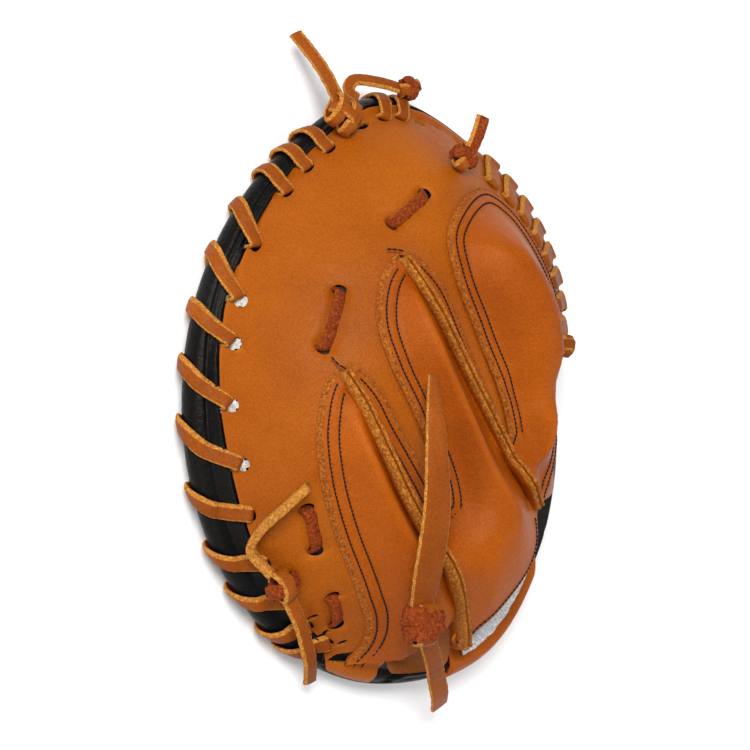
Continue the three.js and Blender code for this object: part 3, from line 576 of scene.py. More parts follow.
def thick_sheet(name, flat, faces, height, thickness, materials, node, round_edge=0.35, raw=None):
    """A leather sheet over the plan: its outside at a height, its edge rounded, its inside below."""
    x, y = flat.T
    slope_x = (height(x + SLOPE_STEP, y) - height(x - SLOPE_STEP, y)) / (2 * SLOPE_STEP)
    slope_y = (height(x, y + SLOPE_STEP) - height(x, y - SLOPE_STEP)) / (2 * SLOPE_STEP)
    normal = unit(np.stack([-slope_x, -slope_y, np.ones(len(x))], axis=1))
    top = np.stack([x, y, height(x, y)], axis=1)
    edges = rim_edges(faces)
    on_edge = sorted({int(k) for pair in edges for k in pair})
    lowered = top.copy()
    lowered[on_edge] -= normal[on_edge] * round_edge * 0.5
    outward = np.zeros_like(top)
    for a, b in edges:
        out = unit(np.cross(top[b] - top[a], normal[a]))
        outward[a] += out
        outward[b] += out
    outward /= np.maximum(np.linalg.norm(outward, axis=1), 1e-9)[:, None]
    shoulder = top - normal * round_edge + outward * round_edge * 0.5
    waist = top - normal * (thickness - round_edge) + outward * round_edge * 0.5
    under = top - normal * thickness
    points = [*lowered, *under]
    place = {}
    for key, ring in enumerate((lowered, shoulder, waist, under)):
        for k in on_edge:
            place[key, k] = len(points)
            points.append(ring[k])
    all_faces = [*faces.tolist(), *(faces[:, ::-1] + len(top)).tolist()]
    zones = [0] * len(faces) if raw is None else [int(flag) for flag in raw]
    zones += [2] * len(faces)
    for a, b in edges:
        for level in range(3):
            all_faces.append([place[level, b], place[level, a], place[level + 1, a], place[level + 1, b]])
            zones.append(0 if level == 0 else 1)
    return piece(name, points, all_faces, materials, zones, node)


def tube_faces(levels, size, first=0, flipped=False):
    """Faces of a tube over rings of points, with both ends shut."""
    faces = []
    for level in range(levels - 1):
        for corner in range(size):
            a, b = (first + level * size + k for k in (corner, (corner + 1) % size))
            faces.append([a, b, b + size, a + size])
    faces.append([first + k for k in range(size)][::-1])
    faces.append([first + (levels - 1) * size + k for k in range(size)])
    return [face[::-1] for face in faces] if flipped else faces


def joined(parts):
    """Several point, face and zone sets as one."""
    points, faces, zones = [], [], []
    for part in parts:
        first = len(points)
        points.extend(part[0])
        faces.extend([[first + k for k in face] for face in part[1]])
        zones.extend(part[2])
    return points, faces, zones


# Strips of lace


def lace_section(bevel):
    """Section of a lace: across and up as shares of its width and thickness, and the next face's zone."""
    return [
        (-0.5, 0.1, 1), (-0.47, 0.3, 1), (-0.43, 0.46, 0), (-0.22, 0.53, 0), (0, 0.55, 0), (0.2, 0.53, 0),
        (0.5 - bevel, 0.48, 1), (0.5 - bevel / 3, 0.26, 1), (0.5, 0, 1), (0.5, -0.26, 1), (0.44, -0.48, 2),
        (0.15, -0.5, 2), (-0.15, -0.5, 2), (-0.44, -0.48, 1), (-0.5, -0.26, 1),
    ]


def mirrored(section):
    """The same lace with its slanting cut on the other side."""
    return [(-across, rise, section[index - 1][2]) for index, (across, rise, _) in enumerate(section)][::-1]


LACE_SECTION = lace_section(0.24)
WIDE_SECTION = lace_section(0.05)
FUZZ = 0.2


def through(data, step):
    """Even steps along a smooth curve through rows whose first three columns are a place."""
    ends = np.vstack([2 * data[0] - data[1], data, 2 * data[-1] - data[-2]])
    found = []
    for index in range(1, len(ends) - 2):
        near = ends[index - 1 : index + 3]
        found.extend(between(*near, part) for part in np.linspace(0, 1, 14, endpoint=False))
    return spaced(np.array([*found, data[-1]]), step)


def ribbon(stations, outs, widths, thick=LACE_THICK, step=1.1, wobble=0.0, section=LACE_SECTION):
    """Points, faces, zones and middle of a flat lace; outs are the ways its grain side faces."""
    data = np.hstack([np.array(stations, float), np.array(outs, float), np.array(widths, float)[:, None]])
    fine = through(data, step)
    at, out, width = fine[:, :3], fine[:, 3:6], fine[:, 6]
    along = unit(np.gradient(at, axis=0))
    side = unit(np.cross(along, out))
    up = np.cross(side, along)
    rough = FUZZ * min(1, LACE_WIDTH / width.max()) ** 2
    points = []
    for index in range(len(at)):
        swell = 1 + wobble * math.sin(index * 0.9) * 0.5
        for across, rise, zone in section:
            fuzz = RANDOM.uniform(-1, 1) * rough if zone == 1 else 0
            spot = at[index] + side[index] * (across * width[index] * swell + fuzz)
            points.append(spot + up[index] * rise * thick)
    zones = [zone for _ in at[1:] for _, _, zone in section]
    return points, tube_faces(len(at), len(section)), [*zones, 1, 1], at


def lace_piece(name, parts, node=None):
    points, faces, zones = joined(parts)
    return piece(name, points, faces, [LACE, FUZZ_TAN, FLESH], zones, node)


# The camera, then the free lace ends

LENS = 100
LENS_DISTANCE = 1094
TARGET = (-20.6, 7.9, 28.4)
LIFT = math.radians(54)


def make_camera():
    data = bpy.data.cameras.new("camera")
    data.lens = LENS
    data.sensor_width = 36
    data.clip_start, data.clip_end = 0.05, 20
    camera = new_object("camera", data)
    up = Vector((0, 1, 0))
    back = Vector((-math.cos(LIFT), 0, math.sin(LIFT)))
    camera.rotation_mode = "QUATERNION"
    matrix = Matrix((up.cross(back), up, back)).transposed().to_4x4()
    matrix.translation = (Vector(TARGET) - Vector(ORIGIN) + back * LENS_DISTANCE) * MM
    camera.matrix_world = matrix
    bpy.context.scene.camera = camera


make_camera()

# Which way a free end's grain side faces where it is not up, and how much wider or thicker it looks
LEANS = {"top_tail": (-0.3, 0.2, 1), "finger_tail_upper": (0.67, -0.35, 0.49)}
WIDER = {"wrist_tail_short": 1.35, "wrist_tail_long": 1.1}
THICKER = {"finger_tail_upper": 2}

for end_name, end_rows in FREE_ENDS.items():
    rows = np.array(end_rows, float)
    lean = LEANS.get(end_name, (-0.25, 0, 1))
    wide = WIDER.get(end_name, 1)
    thick = LACE_THICK * THICKER.get(end_name, 1)
    cut = WIDE_SECTION if wide > 1 else LACE_SECTION
    part = ribbon(rows[:, :3], [lean] * len(rows), rows[:, 3] * wide, thick, wobble=0.04, section=cut)
    if end_name in THICKER:
        part = (*part[:2], [1] * len(part[2]), part[3])
    made = lace_piece(f"{end_name}_lace", [part], end_name)
    line = (part[3] - ORIGIN) * MM
    tuple(line[0])
    [tuple(point) for point in line]


# The black shell: palm, rim roll and hollow

SHELL_TURNS = 360
HOLE_SINK = 5
HOLE_SPREAD = 4.5
# The crease beside the tan edge: how far from it, how deep and how wide
CREASE_APART = 4.5
ROLL_CREASE = 0.9
# Where the pad gives way to the hollow inside the sewn edge, and over how far
HOLLOW_INSET = 10
HOLLOW_RUN = 5
TOP_INSETS = (8.5, 9.5, 10.5, 11.5, 12.5, 13.5, 14.5, 15.5, 17, 18.5, 20, 22, 24, 26.5)
TOP_SHARES = (0.76, 0.7, 0.64, 0.56, 0.47, 0.38, 0.28, 0.16, 0)
# Plan of the open mouth at the wrist
MOUTH_REGION = np.array([
    (74, -57), (110, -50), (123, -110), (60, -188), (-17, -188), (-17, -140), (-12, -126),
    (2, -104), (22, -115), (44, -85), (52, -60),
], float)


def roll_spot(angle, turn, offset=0.0):
    """Distance inside the outline and height on the padded roll, whose top is at a turn of 90 degrees."""
    foot = foot_height(angle)
    half = (rim_value("top", angle) - foot) / 2
    return (
        ROLL_WIDTH - (ROLL_WIDTH + offset) * np.cos(turn),
        foot + half + (half + offset) * np.sin(turn),
    )


def panel_cover(angle, inward):
    """1 where the tan back covers the black shell, 0 on the bare roll."""
    edge = panel_edge(angle)
    return smooth_step(inward, edge - 0.6, edge + 0.9)


def rim_top(x, y):
    """Height of the rim's outside: the roll, and the dome inside it."""
    angle, inward = rim_inset(x, y)
    foot = foot_height(angle)
    half = (rim_value("top", angle) - foot) / 2
    out = np.clip((ROLL_WIDTH - inward) / ROLL_WIDTH, 0, 0.97)
    return np.where(inward < ROLL_WIDTH, foot + half + half * np.sqrt(1 - out**2), dome(x, y))


def shell_profile(angle):
    """Rows of distance from the middle, height and whether on top, from the pocket's middle round."""
    reach = float(rim_value("reach", angle))
    cos, sin = math.cos(angle), math.sin(angle)
    ceiling = reach - ROLL_WIDTH - REST_WIDTH
    rows = [
        (share * ceiling, float(pocket(CENTRE_X + share * ceiling * cos, share * ceiling * sin)), False)
        for share in np.linspace(0, 1, 18)
    ]
    rows += [(ceiling + part * REST_WIDTH, float(foot_height(angle)), False) for part in (0.33, 0.66)]
    crease = float(panel_edge(angle)) - CREASE_APART
    for turn in np.radians(np.linspace(-90, 78, 44)):
        inward, z = (float(value) for value in roll_spot(angle, turn))
        cover, dent = 0, 0
        if turn > 0:
            cover = float(panel_cover(angle, inward))
            dent = (crease > 1.5) * ROLL_CREASE * math.exp(-(((inward - crease) / ROLL_CREASE) ** 2))
        z -= cover * (BACK_LEATHER - 0.2) + dent * math.sin(turn)
        rows.append((reach - inward - dent * math.cos(turn), z, False))
    rows += [(reach - inward, 0, True) for inward in TOP_INSETS]
    rows += [(share * (reach - TOP_INSETS[-1]) / 0.8, 0, True) for share in TOP_SHARES]
    return rows


def shell():
    """The pad's skin, from the pocket over the roll to the hollow, with felt where some holes are."""
    angles = np.arange(SHELL_TURNS) * 2 * math.pi / SHELL_TURNS
    rings = [shell_profile(angle) for angle in angles]
    points = np.array([
        (CENTRE_X + out * math.cos(angle), out * math.sin(angle), z)
        for angle, ring in zip(angles, rings)
        for out, z, _ in ring
    ])
    top = np.array([on_top for ring in rings for _, _, on_top in ring])
    x, y = points[top, :2].T
    cover = panel_cover(*rim_inset(x, y))
    pad = dome(x, y) + 0.35 * ripple(x, y, 8, 6.6) - (BACK_LEATHER + 0.4) * cover - 0.2
    for index, centre in enumerate(HOLE_CENTRES):
        sink = FELT_SINK if index in FELT_HOLES else HOLE_SINK
        pad = pad - sink * np.exp(-((np.hypot(x - centre[0], y - centre[1]) / HOLE_SPREAD) ** 2))
    within = np.where(inside(SEWN_OUTLINE, x, y), 1, -1) * distance_to(looped(SEWN_OUTLINE), x, y)
    share = np.maximum(np.clip((within - HOLLOW_INSET) / HOLLOW_RUN, 0, 1), inside(MOUTH_REGION, x, y))
    points[top, 2] = pad + (np.minimum(hand_floor(x, y), pad) - pad) * share
    x, y, z = points.T
    low_heel = inside(MOUTH_REGION, x, y) & (z > HEEL_FLOOR) & (rim_inset(x, y)[1] < BAND_REACH)
    points[low_heel, 2] = HEEL_FLOOR
    faces = []
    levels = len(rings[0])
    for turn in range(SHELL_TURNS):
        here, after = turn * levels, (turn + 1) % SHELL_TURNS * levels
        for level in range(levels - 1):
            faces.append([here + level, here + level + 1, after + level + 1, after + level])
    x, y, z = points[np.array(faces)].mean(1).T
    felt = np.zeros(len(faces), bool)
    for centre in HOLE_CENTRES[FELT_HOLES]:
        felt |= (np.hypot(x - centre[0], y - centre[1]) < FELT_REACH) & (z > POCKET_TOP)
    return piece("palm_shell", points, faces, [BLACK, FELT], felt, "palm_pad")


# The tan back's holes and cut edges

# Holes that show white felt: which, how deep it lies, how far round it shows, and their shift
FELT_HOLES = [5, 6, 7, 8]
FELT_SINK = 0.8
FELT_REACH = 3.8
FELT_SHIFT = 0.012
FELT_INSET = 1.2
POCKET_TOP = 15
GROOVE = 1.9
EMPTY_HOLES = [(-62.7, -116.4), (-53, -124.5), (-44, -131)]
# Black patches where the tan leather is cut away by the heel: middle, long, wide and way
PATCHES = [((-37, -139.5), 17, 6.5, 8), ((-9, -141), 15, 4.5, -18), ((-55, -128), 6.5, 4, 40)]
OUTLINE_STEPS = 420
UNDERLAP = 8


def panel_outline():
    """The tan back's outline, drawn in a little at each lace."""
    angles = np.arange(OUTLINE_STEPS) * 2 * math.pi / OUTLINE_STEPS
    within = panel_edge(angles)
    for angle, _ in [*FINGER_HOLES, *TOP_HOLES]:
        apart = (angles - math.radians(angle) + math.pi) % (2 * math.pi) - math.pi
        within = within + 0.9 * np.exp(-((apart / 0.035) ** 2))
    return rim_place(angles, within)


def oval(centre, along, long, wide, count=18):
    """An oval hole in plan whose long axis lies along a direction."""
    along = unit(along)
    across = np.array([-along[1], along[0]])
    turns = (np.arange(count) * 2 * math.pi / count)[:, None]
    return centre + along * long / 2 * np.cos(turns) + across * wide / 2 * np.sin(turns)


def lace_holes():
    """Outlines of the holes in the back panel."""
    found = []
    for index, (angle, within) in enumerate([*FINGER_HOLES, *THUMB_HOLES, *TOP_HOLES]):
        turn = math.radians(angle)
        felt = index in FELT_HOLES
        place = rim_place(turn + FELT_SHIFT * felt, within + FELT_INSET * felt)
        ahead = rim_place(turn + 0.01, within) - rim_place(turn - 0.01, within)
        found.append(oval(place, ahead, 7.4 if felt else 8, 4.8 if felt else 3.6))
    for start, end in POCKET_LACES.values():
        start, end = np.array(start, float), np.array(end, float)
        along = unit(end - start)
        for place in (start - along * 1.2, end + along * 1.2):
            found.append(oval(place, along, 5.4, 5.8))
    return found


HOLES = lace_holes()
HOLE_CENTRES = np.array([hole.mean(0) for hole in HOLES])


def ragged(centre, long, wide, way):
    """An oval with an uneven outline."""
    turn = math.radians(way)
    outline = oval(np.array(centre, float), (math.cos(turn), math.sin(turn)), long, wide, 26)
    uneven = 1 + 0.22 * ripple(*outline.T, 2.6, 2.2)
    return centre + (outline - centre) * uneven[:, None]


def back_height(x, y):
    """The tan back: over the roll at its edge, pulled in at each lace hole, grooved for the pocket laces."""
    z = rim_top(x, y) + 0.35 * ripple(x, y, 22, 5.1) + 0.12 * ripple(x, y, 7, 9.4)
    for centre in HOLE_CENTRES:
        apart = np.hypot(x - centre[0], y - centre[1])
        z = z - 1.7 * np.exp(-((apart / 6) ** 2))
    for start, end in POCKET_LACES.values():
        apart = distance_to([start, end], x, y)
        z = z - GROOVE * (1 - smooth_step(apart, 2.8, 4.4))
    return z


def back_panel():
    """The tan back round the sewn panels and the mouth."""
    def keep(x, y):
        covered = inside(SEWN_OUTLINE, x, y) & (distance_to(looped(SEWN_OUTLINE), x, y) > UNDERLAP)
        return ~covered & ~inside(MOUTH_REGION, x, y)

    patches = [ragged(*patch) for patch in PATCHES]
    empty = [oval(np.array(spot, float), (1, 0.8), 4.6, 3.2, 10) for spot in EMPTY_HOLES]
    holes = [*HOLES, *patches, *empty]
    flat, faces = cut_sheet(panel_outline(), 2.6, (1.2, 3), holes, keep, [looped(MOUTH_REGION)])
    thick_sheet("tan_back", flat, faces, back_height, BACK_LEATHER, [TAN_SMOOTH, RAW, FLESH],
                "back_panel")


shell()
back_panel()


# The hand panels and their seams

# Half a seam's width, how high its edges lift the leather, and half the slot it stands in
PLY = 2.3
LIP = 2.4
LIP_REACH = 2.2
SEAM_GAP = 1.7
# The skived raw edge, and the stitch rows beside it
RAW_BAND = 2.3
STITCH_ROWS = (4.2, 8.8)
PANEL_RINGS = (1.2, RAW_BAND, 4.2, 5.6, 7.2, 8.8, 10.2, 12)
# How far the leather tucks down on the left of a seam, and how wide the tuck is
TUCK = 6.5
TUCK_REACH = 8
# The dent along the thumb panel: how deep, how far from its seam and how wide
DENT = 5
DENT_APART = 15
DENT_WIDTH = 7
LITTLE_SIDE = np.vstack([LITTLE_LINE, [(30, -150), (30, -200), (-200, -200), (-200, 30), (-78, 30)]])
THUMB_SIDE = np.vstack([MIDDLE_LINE, [(68, -64), (200, -64), (200, 200), (-42, 200), (-42, 74)]])


def seam_top(x, y):
    """Where the seams' raw edges stand."""
    return hand_height(x, y) + HAND_LEATHER + LIP


def panel_height(x, y):
    """Outside of a hand panel: skived at its cut edge, drawn in at its stitches and shaped at its seams.

    Each seam has the leather turned up on its right and tucked down on its left.
    """
    edge = distance_to(SEWN_LINE, x, y)
    z = hand_height(x, y) + HAND_LEATHER + 0.5 * ripple(x, y, 26, 1.7) + 0.15 * ripple(x, y, 8, 4.2)
    z = z - 1.1 * (1 - smooth_step(edge, 0, RAW_BAND))
    for row in STITCH_ROWS:
        z = z - 0.5 * np.exp(-(((edge - row) / 1.0) ** 2))
    wrist = smooth_step(distance_to(WRIST_LINE, x, y), 3, 25)
    fade = smooth_step(edge, 4, 20)
    sides = ((LITTLE_LINE, inside(LITTLE_SIDE, x, y)), (MIDDLE_LINE, ~inside(THUMB_SIDE, x, y)))
    for line, on_left in sides:
        apart = np.maximum(distance_to(line, x, y) - PLY, 0)
        tuck = TUCK * np.exp(-apart / TUCK_REACH) * fade * (0.35 + 0.65 * wrist)
        z = z + np.where(on_left, -tuck, LIP * np.exp(-apart / LIP_REACH))
    across = (distance_to(MIDDLE_LINE, x, y) - DENT_APART) / DENT_WIDTH
    dent = DENT * np.exp(-(across**2)) * fade * (1 - smooth_step(y, -5, 35))
    return z - np.where(inside(THUMB_SIDE, x, y), dent, 0)


def hand_panels():
    """The three panels, cut apart at the seams."""
    gaps = [moved(line, side) for line in (LITTLE_LINE, MIDDLE_LINE) for side in (SEAM_GAP, -SEAM_GAP)]
    flat, faces = cut_sheet(SEWN_OUTLINE, 2.3, PANEL_RINGS, lines=gaps)
    x, y = flat[faces].mean(1).T
    little, thumb = inside(LITTLE_SIDE, x, y), inside(THUMB_SIDE, x, y)
    clear = seam_distance(x, y) > SEAM_GAP
    groups = {"little": little & clear, "thumb": thumb & clear, "middle": ~little & ~thumb & clear}
    for key, mask in groups.items():
        points, kept = used_only(flat, faces[mask])
        raw = distance_to(SEWN_LINE, *points[kept].mean(1).T) < RAW_BAND
        thick_sheet(f"tan_hand_{key}", points, kept, panel_height, HAND_LEATHER, [TAN, EDGE, FLESH],
                    f"hand_panel_{key}", raw=raw)


hand_panels()


def welt(name, line, node, bands):
    """Two raw edges that stand side by side along a seam, with how deep they show at its two ends."""
    base = seam_top(*line.T)
    band = np.linspace(*bands, len(line))
    across = moved(line, -1) - line
    parts = []
    for turn, rise in ((1, 2.6), (-1, 1.6)):
        section = [
            (0.2, -13, 0), (0.3, rise - 1.2, 1), (0.65, rise, 1), (1.9, rise - 0.3, 1),
            (2.5, rise - 1.4, 1), (2.7, rise, 0), (2.2, -13, 0),
        ]
        size = len(section)
        points = []
        for index, spot in enumerate(line):
            for corner, (shift, z, _) in enumerate(section):
                z = z - band[index] * (corner == size - 2)
                wander = RANDOM.uniform(-1, 1) * 0.1
                place = spot + across[index] * turn * (shift + wander * (z > 0))
                points.append((*place, base[index] + z + wander))
        zones = [zone for _ in line[1:] for _, _, zone in section]
        parts.append((points, tube_faces(len(line), size, flipped=turn > 0), [*zones, 1, 1]))
    points, faces, zones = joined(parts)
    piece(name, points, faces, [TAN, RAW], zones, node)


welt("little_seam_edges", spaced(LITTLE_LINE, 1.2), "seam_welt_little", (4.5, 6.5))
welt("middle_seam_edges", spaced(MIDDLE_LINE, 1.2), "seam_welt_middle", (4.5, 1.6))


# Stitching

STITCH_PITCH = 2.2
THREAD_HALF = 0.5
# A stitch's rings along it: share of its length, share of its thickness and lift
BEAD = ((0.02, 0.5, -0.2), (0.25, 1, 0.2), (0.75, 1, 0.2), (0.98, 0.5, -0.2))
BEAD_SIDES = 6
FOLD_SHARE = 0.96
SEAM_CLEAR = 1.6
FEWEST = 9


def stitches(name, rows, height):
    """Black thread stitches along lines in plan, each a short bead that dips in at its ends."""
    points, faces = [], []
    for row in rows:
        line = spaced(np.asarray(row, float), STITCH_PITCH)
        at = np.column_stack([line, height(*line.T)])
        for start, end in zip(at[:-1], at[1:]):
            along = end - start
            side = unit(np.cross(along, (0, 0, 1)))
            up = unit(np.cross(side, along))
            faces.extend(tube_faces(len(BEAD), BEAD_SIDES, len(points)))
            for share, size, lift in BEAD:
                middle = start + along * share + up * lift
                for corner in range(BEAD_SIDES):
                    turn = corner * 2 * math.pi / BEAD_SIDES
                    points.append(middle + (side * math.cos(turn) + up * math.sin(turn)) * THREAD_HALF * size)
    piece(name, points, faces, [THREAD])


def beside(line, apart, clear=()):
    """Stretches of a line moved sideways, without the parts that fold over or meet a seam."""
    row = moved(line, apart)
    good = distance_to(line, *row.T) > FOLD_SHARE * abs(apart)
    for seam in clear:
        good &= distance_to(seam, *row.T) > PLY + SEAM_CLEAR
    runs = [[]]
    for spot, fits in zip(row, good):
        if fits:
            runs[-1].append(spot)
        elif runs[-1]:
            runs.append([])
    return [np.array(run) for run in runs if len(run) > FEWEST]


def on_panel(x, y):
    return panel_height(x, y) + 0.1


SEAMS = (LITTLE_LINE, MIDDLE_LINE)
TIP_THREADS = [[(-73, 11), (-75.5, 13.5), (-77.5, 17)], [(-38, 70), (-41, 71), (-45, 71)]]
stitches("panel_stitching", [run for row in STITCH_ROWS for run in beside(SEWN_LINE, row, SEAMS)], on_panel)
stitches("tip_threads", TIP_THREADS, lambda x, y: panel_height(x, y) + 1.2)
stitches("hem_stitching", beside(HEM_LINE, 3.2, (MIDDLE_LINE,)), on_panel)
rim_row = panel_outline()
rim_angles = np.degrees(polar(*rim_row.T)[0]) % 360
black_side = rim_row[(rim_angles > 94) & (rim_angles < 255)]
stitches("rim_stitching", beside(black_side, 1.4), lambda x, y: rim_top(x, y) + 0.2)


# The lacing


# The lace out of its hole: push along, height over the leather and how far its grain side faces up
HOLE_WAY = ((-0.4, -9, 0), (-0.4, -4, 0.1), (0, -0.9, 0.9), (1.4, 0.9, 2.5))
# Then round the rim: turn on the roll and share of the swing to the next hole
ROLL_TURNS = ((76, 0.36), (50, 0.54), (18, 0.8), (-22, 0.99), (-45, 1.02))
CROWN_INSET = 7.5
FINGER_SWINGS = (0.9, 0.6, 0.75, 0.62, 0.68, 0.72, 0.6, 0.6, 0.66, 0.45, 0.1, -0.1, -0.15)
THUMB_SWINGS = [0.75] * 8
LACE_FLOOR = 1.5


def rim_way(angle, tilt):
    """A way in the upright plane at an angle round the rim."""
    return math.cos(tilt) * math.cos(angle), math.cos(tilt) * math.sin(angle), math.sin(tilt)


def whip(holes, swings, width, section=LACE_SECTION):
    """The lace round the rim, clockwise from hole to hole, flat over the roll."""
    parts = []
    for (first, within), (after, next_within), swing in zip(holes, holes[1:], swings):
        start, end = math.radians(first), math.radians(after)
        hole = rim_place(start, within)
        crown = rim_place(start + (end - start) * swing * ROLL_TURNS[0][1], CROWN_INSET)
        ahead = unit(crown - hole)
        mouth = hole + ahead * HOLE_WAY[-1][0]
        stations, outs = [], []
        for push, lift, rise in HOLE_WAY:
            place = hole + ahead * push
            above = mouth if push == HOLE_WAY[-1][0] else hole
            stations.append((*place, float(rim_top(*above)) + lift))
            outs.append((*-ahead, rise))
        for turn, part in ROLL_TURNS:
            angle = start + (end - start) * swing * part
            tilt = math.radians(turn)
            inward, z = roll_spot(angle, tilt, LACE_LIFT - 0.6)
            stations.append((*rim_place(angle, float(inward)), max(float(z), LACE_FLOOR)))
            outs.append(rim_way(angle, tilt))
        foot = float(foot_height(end))
        for angle, inward, z, tilt in (
            ((start + end) / 2, ROLL_WIDTH, 1.6, -90),
            (end, next_within, max(foot, 1.6), -110),
            (end, next_within + 1, foot + 9, -170),
        ):
            stations.append((*rim_place(angle, inward), z))
            outs.append(rim_way(angle, math.radians(tilt)))
        parts.append(ribbon(stations, unit(outs), [width] * len(stations), section=section))
    return parts


lace_piece("finger_whip_lace", whip(FINGER_HOLES, FINGER_SWINGS, 8.6), "rim_lace_finger")
lace_piece("thumb_whip_lace", whip(THUMB_HOLES, THUMB_SWINGS, 10.5, mirrored(LACE_SECTION)), "rim_lace_thumb")
lace_piece("top_whip_lace", whip(TOP_HOLES, (0.6, 0.6), 8), "rim_lace_top")

# The pocket lace along its groove: push past each end, drop under the leather and lean
GROOVE_WAY = ((-2, -11, -1), (-1, -3.6, -0.8), (2.5, -0.9, -0.2))
SLIM = LACE_WIDTH * 0.9

for lace_name, lace_ends in POCKET_LACES.items():
    first, last = np.array(lace_ends, float)
    ahead = unit(last - first)
    way = [(first + ahead * push, drop, lean) for push, drop, lean in GROOVE_WAY]
    way.append(((first + last) / 2, -0.6, 0))
    way += [(last - ahead * push, drop, -lean) for push, drop, lean in GROOVE_WAY[::-1]]
    spots = [(*place, float(dome(*place)) + drop) for place, drop, _ in way]
    faces_up = [(*(ahead * lean), 1 - abs(lean) * 0.8) for _, _, lean in way]
    part = ribbon(spots, faces_up, [SLIM] * len(spots))
    lace_piece(f"{lace_name}_strip", [(part[0], part[1], [2] * len(part[2]))], lace_name)

strand = ribbon(TOP_STRAND, [(-0.2, 0.5, 1)] * len(TOP_STRAND), [SLIM] * len(TOP_STRAND))
lace_piece("top_strand_lace", [strand], "top_strand")


def rounded(value):
    """A cosine or sine with its turn drawn out to a squarer one."""
    return math.copysign(abs(value) ** 0.75, value)


def knot(name, place, half, high, straps):
    """Lace pulled tight round itself: flat straps that cross over one another."""
    parts = []
    for order, (way, width, shift, flesh) in enumerate(straps):
        turn = math.radians(way)
        ahead = np.array((math.cos(turn), math.sin(turn), 0))
        across = np.array((-ahead[1], ahead[0], 0))
        stations, outs = [], []
        for t in np.linspace(0, 2 * math.pi, 21):
            round_x = rounded(math.cos(t)) * (half * 0.86 - order * 0.8)
            round_z = rounded(math.sin(t)) * (high * 0.62 + order * 0.78)
            sway = across * (shift + 0.5 * math.sin(3 * t))
            stations.append(np.array(place, float) + ahead * round_x + sway + (0, 0, round_z))
            outs.append(ahead * math.cos(t) / half + np.array((0, 0, math.sin(t) / high)))
        part = ribbon(stations, unit(outs), [width] * len(stations), step=1.0, wobble=0.1)
        points, faces, zones, _ = part
        if flesh:
            lumps = [noise.noise_vector(Vector(point) * 0.3) for point in points]
            points = [point + np.array(lump) * 1.5 for point, lump in zip(points, lumps)]
            zones = [2] * len(zones)
        parts.append((points, faces, zones))
    lace_piece(f"{name}_straps", parts, name)


STUB = [(13, 120, 63), (17, 129, 65), (20, 136, 65.5), (23.5, 143, 64)]
stub_part = ribbon(STUB, [(-0.3, 0, 1)] * len(STUB), [7, 7, 7.4, 7.4], section=mirrored(LACE_SECTION))
lace_piece("web_lace_stub", [(stub_part[0], stub_part[1], [zone or 2 for zone in stub_part[2]])])

for knot_name, knot_shape in KNOTS.items():
    knot(knot_name, *knot_shape)


# The heel: band, lining, label and hem

BAND_ENDS = (284, 321)
BAND_TAPER = (312, 321)
BAND_THICK = 2.6
LINING_REGION = np.array([
    (72, -62), (110, -52), (123, -110), (60, -188), (-18.5, -188), (-18.5, -140), (-8, -122),
    (4, -86), (28, -72), (46, -62),
], float)
LINING_THICK = 1.5
LINING_LIFT = 1.8
LABEL_ENDS = (313, 287)
LABEL_START = 9.5
LABEL_END = 36


def heel_band():
    """Tan leather rolled over the rim at the heel, let in at its thumb end."""
    angles = np.radians(np.linspace(*BAND_ENDS, 66))
    turns = np.radians(np.linspace(-22, 70, 12))
    inside_edge = [(9, 3.2), (11, 1.6), (BAND_REACH, 1), (BAND_REACH, 0.3), (12, 0.3)]
    points = []
    for angle in angles:
        end = float(smooth_step(math.degrees(angle), *BAND_TAPER))
        outer = [roll_spot(angle, turn, BAND_THICK - 5.5 * end) for turn in turns]
        under = [roll_spot(angle, turn, 0.4) for turn in turns[::-1][4:]]
        rows = [(inward, min(z, HEEL_FLOOR + 3.4)) for inward, z in outer]
        rows += [(inward, HEEL_FLOOR + rise) for inward, rise in inside_edge]
        rows += [(inward, min(z, HEEL_FLOOR + 0.3)) for inward, z in under]
        points.extend((*rim_place(angle, float(inward)), float(z) - 3 * end) for inward, z in rows)
    faces = tube_faces(len(angles), len(points) // len(angles), flipped=True)
    piece("heel_roll", points, faces, [TAN], None, "heel_band")


def heel_lining():
    """Smooth leather in the mouth, over the heel's roll where the label starts."""
    angles = np.arange(300) * 2 * math.pi / 300
    turn = np.degrees(angles)
    over = smooth_step(turn, 266, 270) * (1 - smooth_step(turn, 282, 286))
    outline = rim_place(angles, BAND_REACH + 0.3 - 13.3 * over)
    flat, faces = cut_sheet(outline, 3, (1.5,), keep=lambda x, y: inside(LINING_REGION, x, y),
                            lines=[looped(LINING_REGION)])

    def height(x, y):
        outer = rim_inset(x, y)[1] < BAND_REACH
        over_roll = np.minimum(rim_top(x, y) + 1.2, HEEL_FLOOR + LINING_LIFT)
        return np.where(outer, over_roll, hand_floor(x, y) + LINING_LIFT)

    thick_sheet("palm_lining", flat, faces, height, LINING_THICK, [LINING, RAW, LINING],
                "heel_lining")


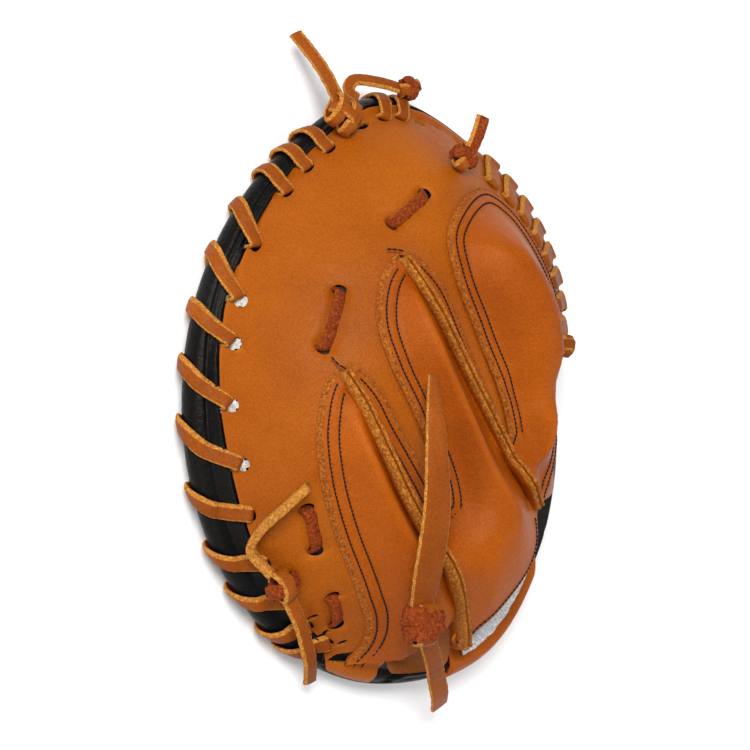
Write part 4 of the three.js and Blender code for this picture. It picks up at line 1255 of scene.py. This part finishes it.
def label():
    """The white strip laid on the lining, bare and crumpled."""
    angles = np.radians(np.linspace(*LABEL_ENDS, 40))
    outline = [*rim_place(angles, LABEL_START), *rim_place(angles[::-1], LABEL_END)]
    flat, faces = cut_sheet(np.array(outline), 1.5)

    def height(x, y):
        crumple = np.abs(ripple(x, y, 5, 3.3)) * 1.8 + np.abs(ripple(x, y, 2.4, 8.1)) * 0.7
        return hand_floor(x, y) + 2.6 + crumple

    made = thick_sheet("white_label", flat, faces, height, 0.7, [LABEL, LABEL, LABEL],
                       "wrist_label", 0.1)
    top = np.column_stack([flat, height(*flat.T)]) * MM


def hem():
    """The fold of leather under the wrist edge."""
    flat, faces = cut_sheet(np.vstack([HEM_LINE, (HEM_LINE + (-7, 3))[::-1]]), 2)
    thick_sheet("wrist_hem_fold", flat, faces, lambda x, y: hand_height(x, y) - 0.3, 1.5, [TAN, RAW, FLESH],
                "wrist_hem")


heel_band()
heel_lining()
label()
hem()


# Stage

FLOOR_HALF = 3
FLOOR_DROP = 0.0005
PAPER = 0.93
WORLD_LIGHT = 0.5


def stage():
    mesh = bpy.data.meshes.new("floor")
    corners = [(-1, -1), (1, -1), (1, 1), (-1, 1)]
    mesh.from_pydata([(x * FLOOR_HALF, y * FLOOR_HALF, -FLOOR_DROP) for x, y in corners], [], [(0, 1, 2, 3)])
    material, tree, shader = new_material("floor_paper")
    wire(tree, shader, {"Base Color": (PAPER, PAPER, PAPER, 1), "Roughness": 0.85})
    mesh.materials.append(material)
    new_object("floor", mesh)


def area_light(name, place, size, power, target=(0, 0, 0.03)):
    data = bpy.data.lights.new(name, "AREA")
    data.shape = "DISK"
    data.size = size
    data.energy = power
    light = new_object(name, data)
    light.location = place
    light.rotation_mode = "QUATERNION"
    light.rotation_quaternion = (Vector(target) - Vector(place)).to_track_quat("-Z", "Y")


stage()
area_light("key", (-0.9, 0.6, 1.4), 0.7, 30)
area_light("fill", (1.2, -0.6, 1.2), 1.2, 9)
area_light("side", (-1.4, -0.8, 0.7), 0.8, 6)
world = bpy.data.worlds.new("studio")
world.use_nodes = True
background = world.node_tree.nodes["Background"]
wire(world.node_tree, background, {"Color": (1, 1, 1, 1), "Strength": WORLD_LIGHT})
bpy.context.scene.world = world
bpy.context.scene.view_settings.view_transform = "Standard"
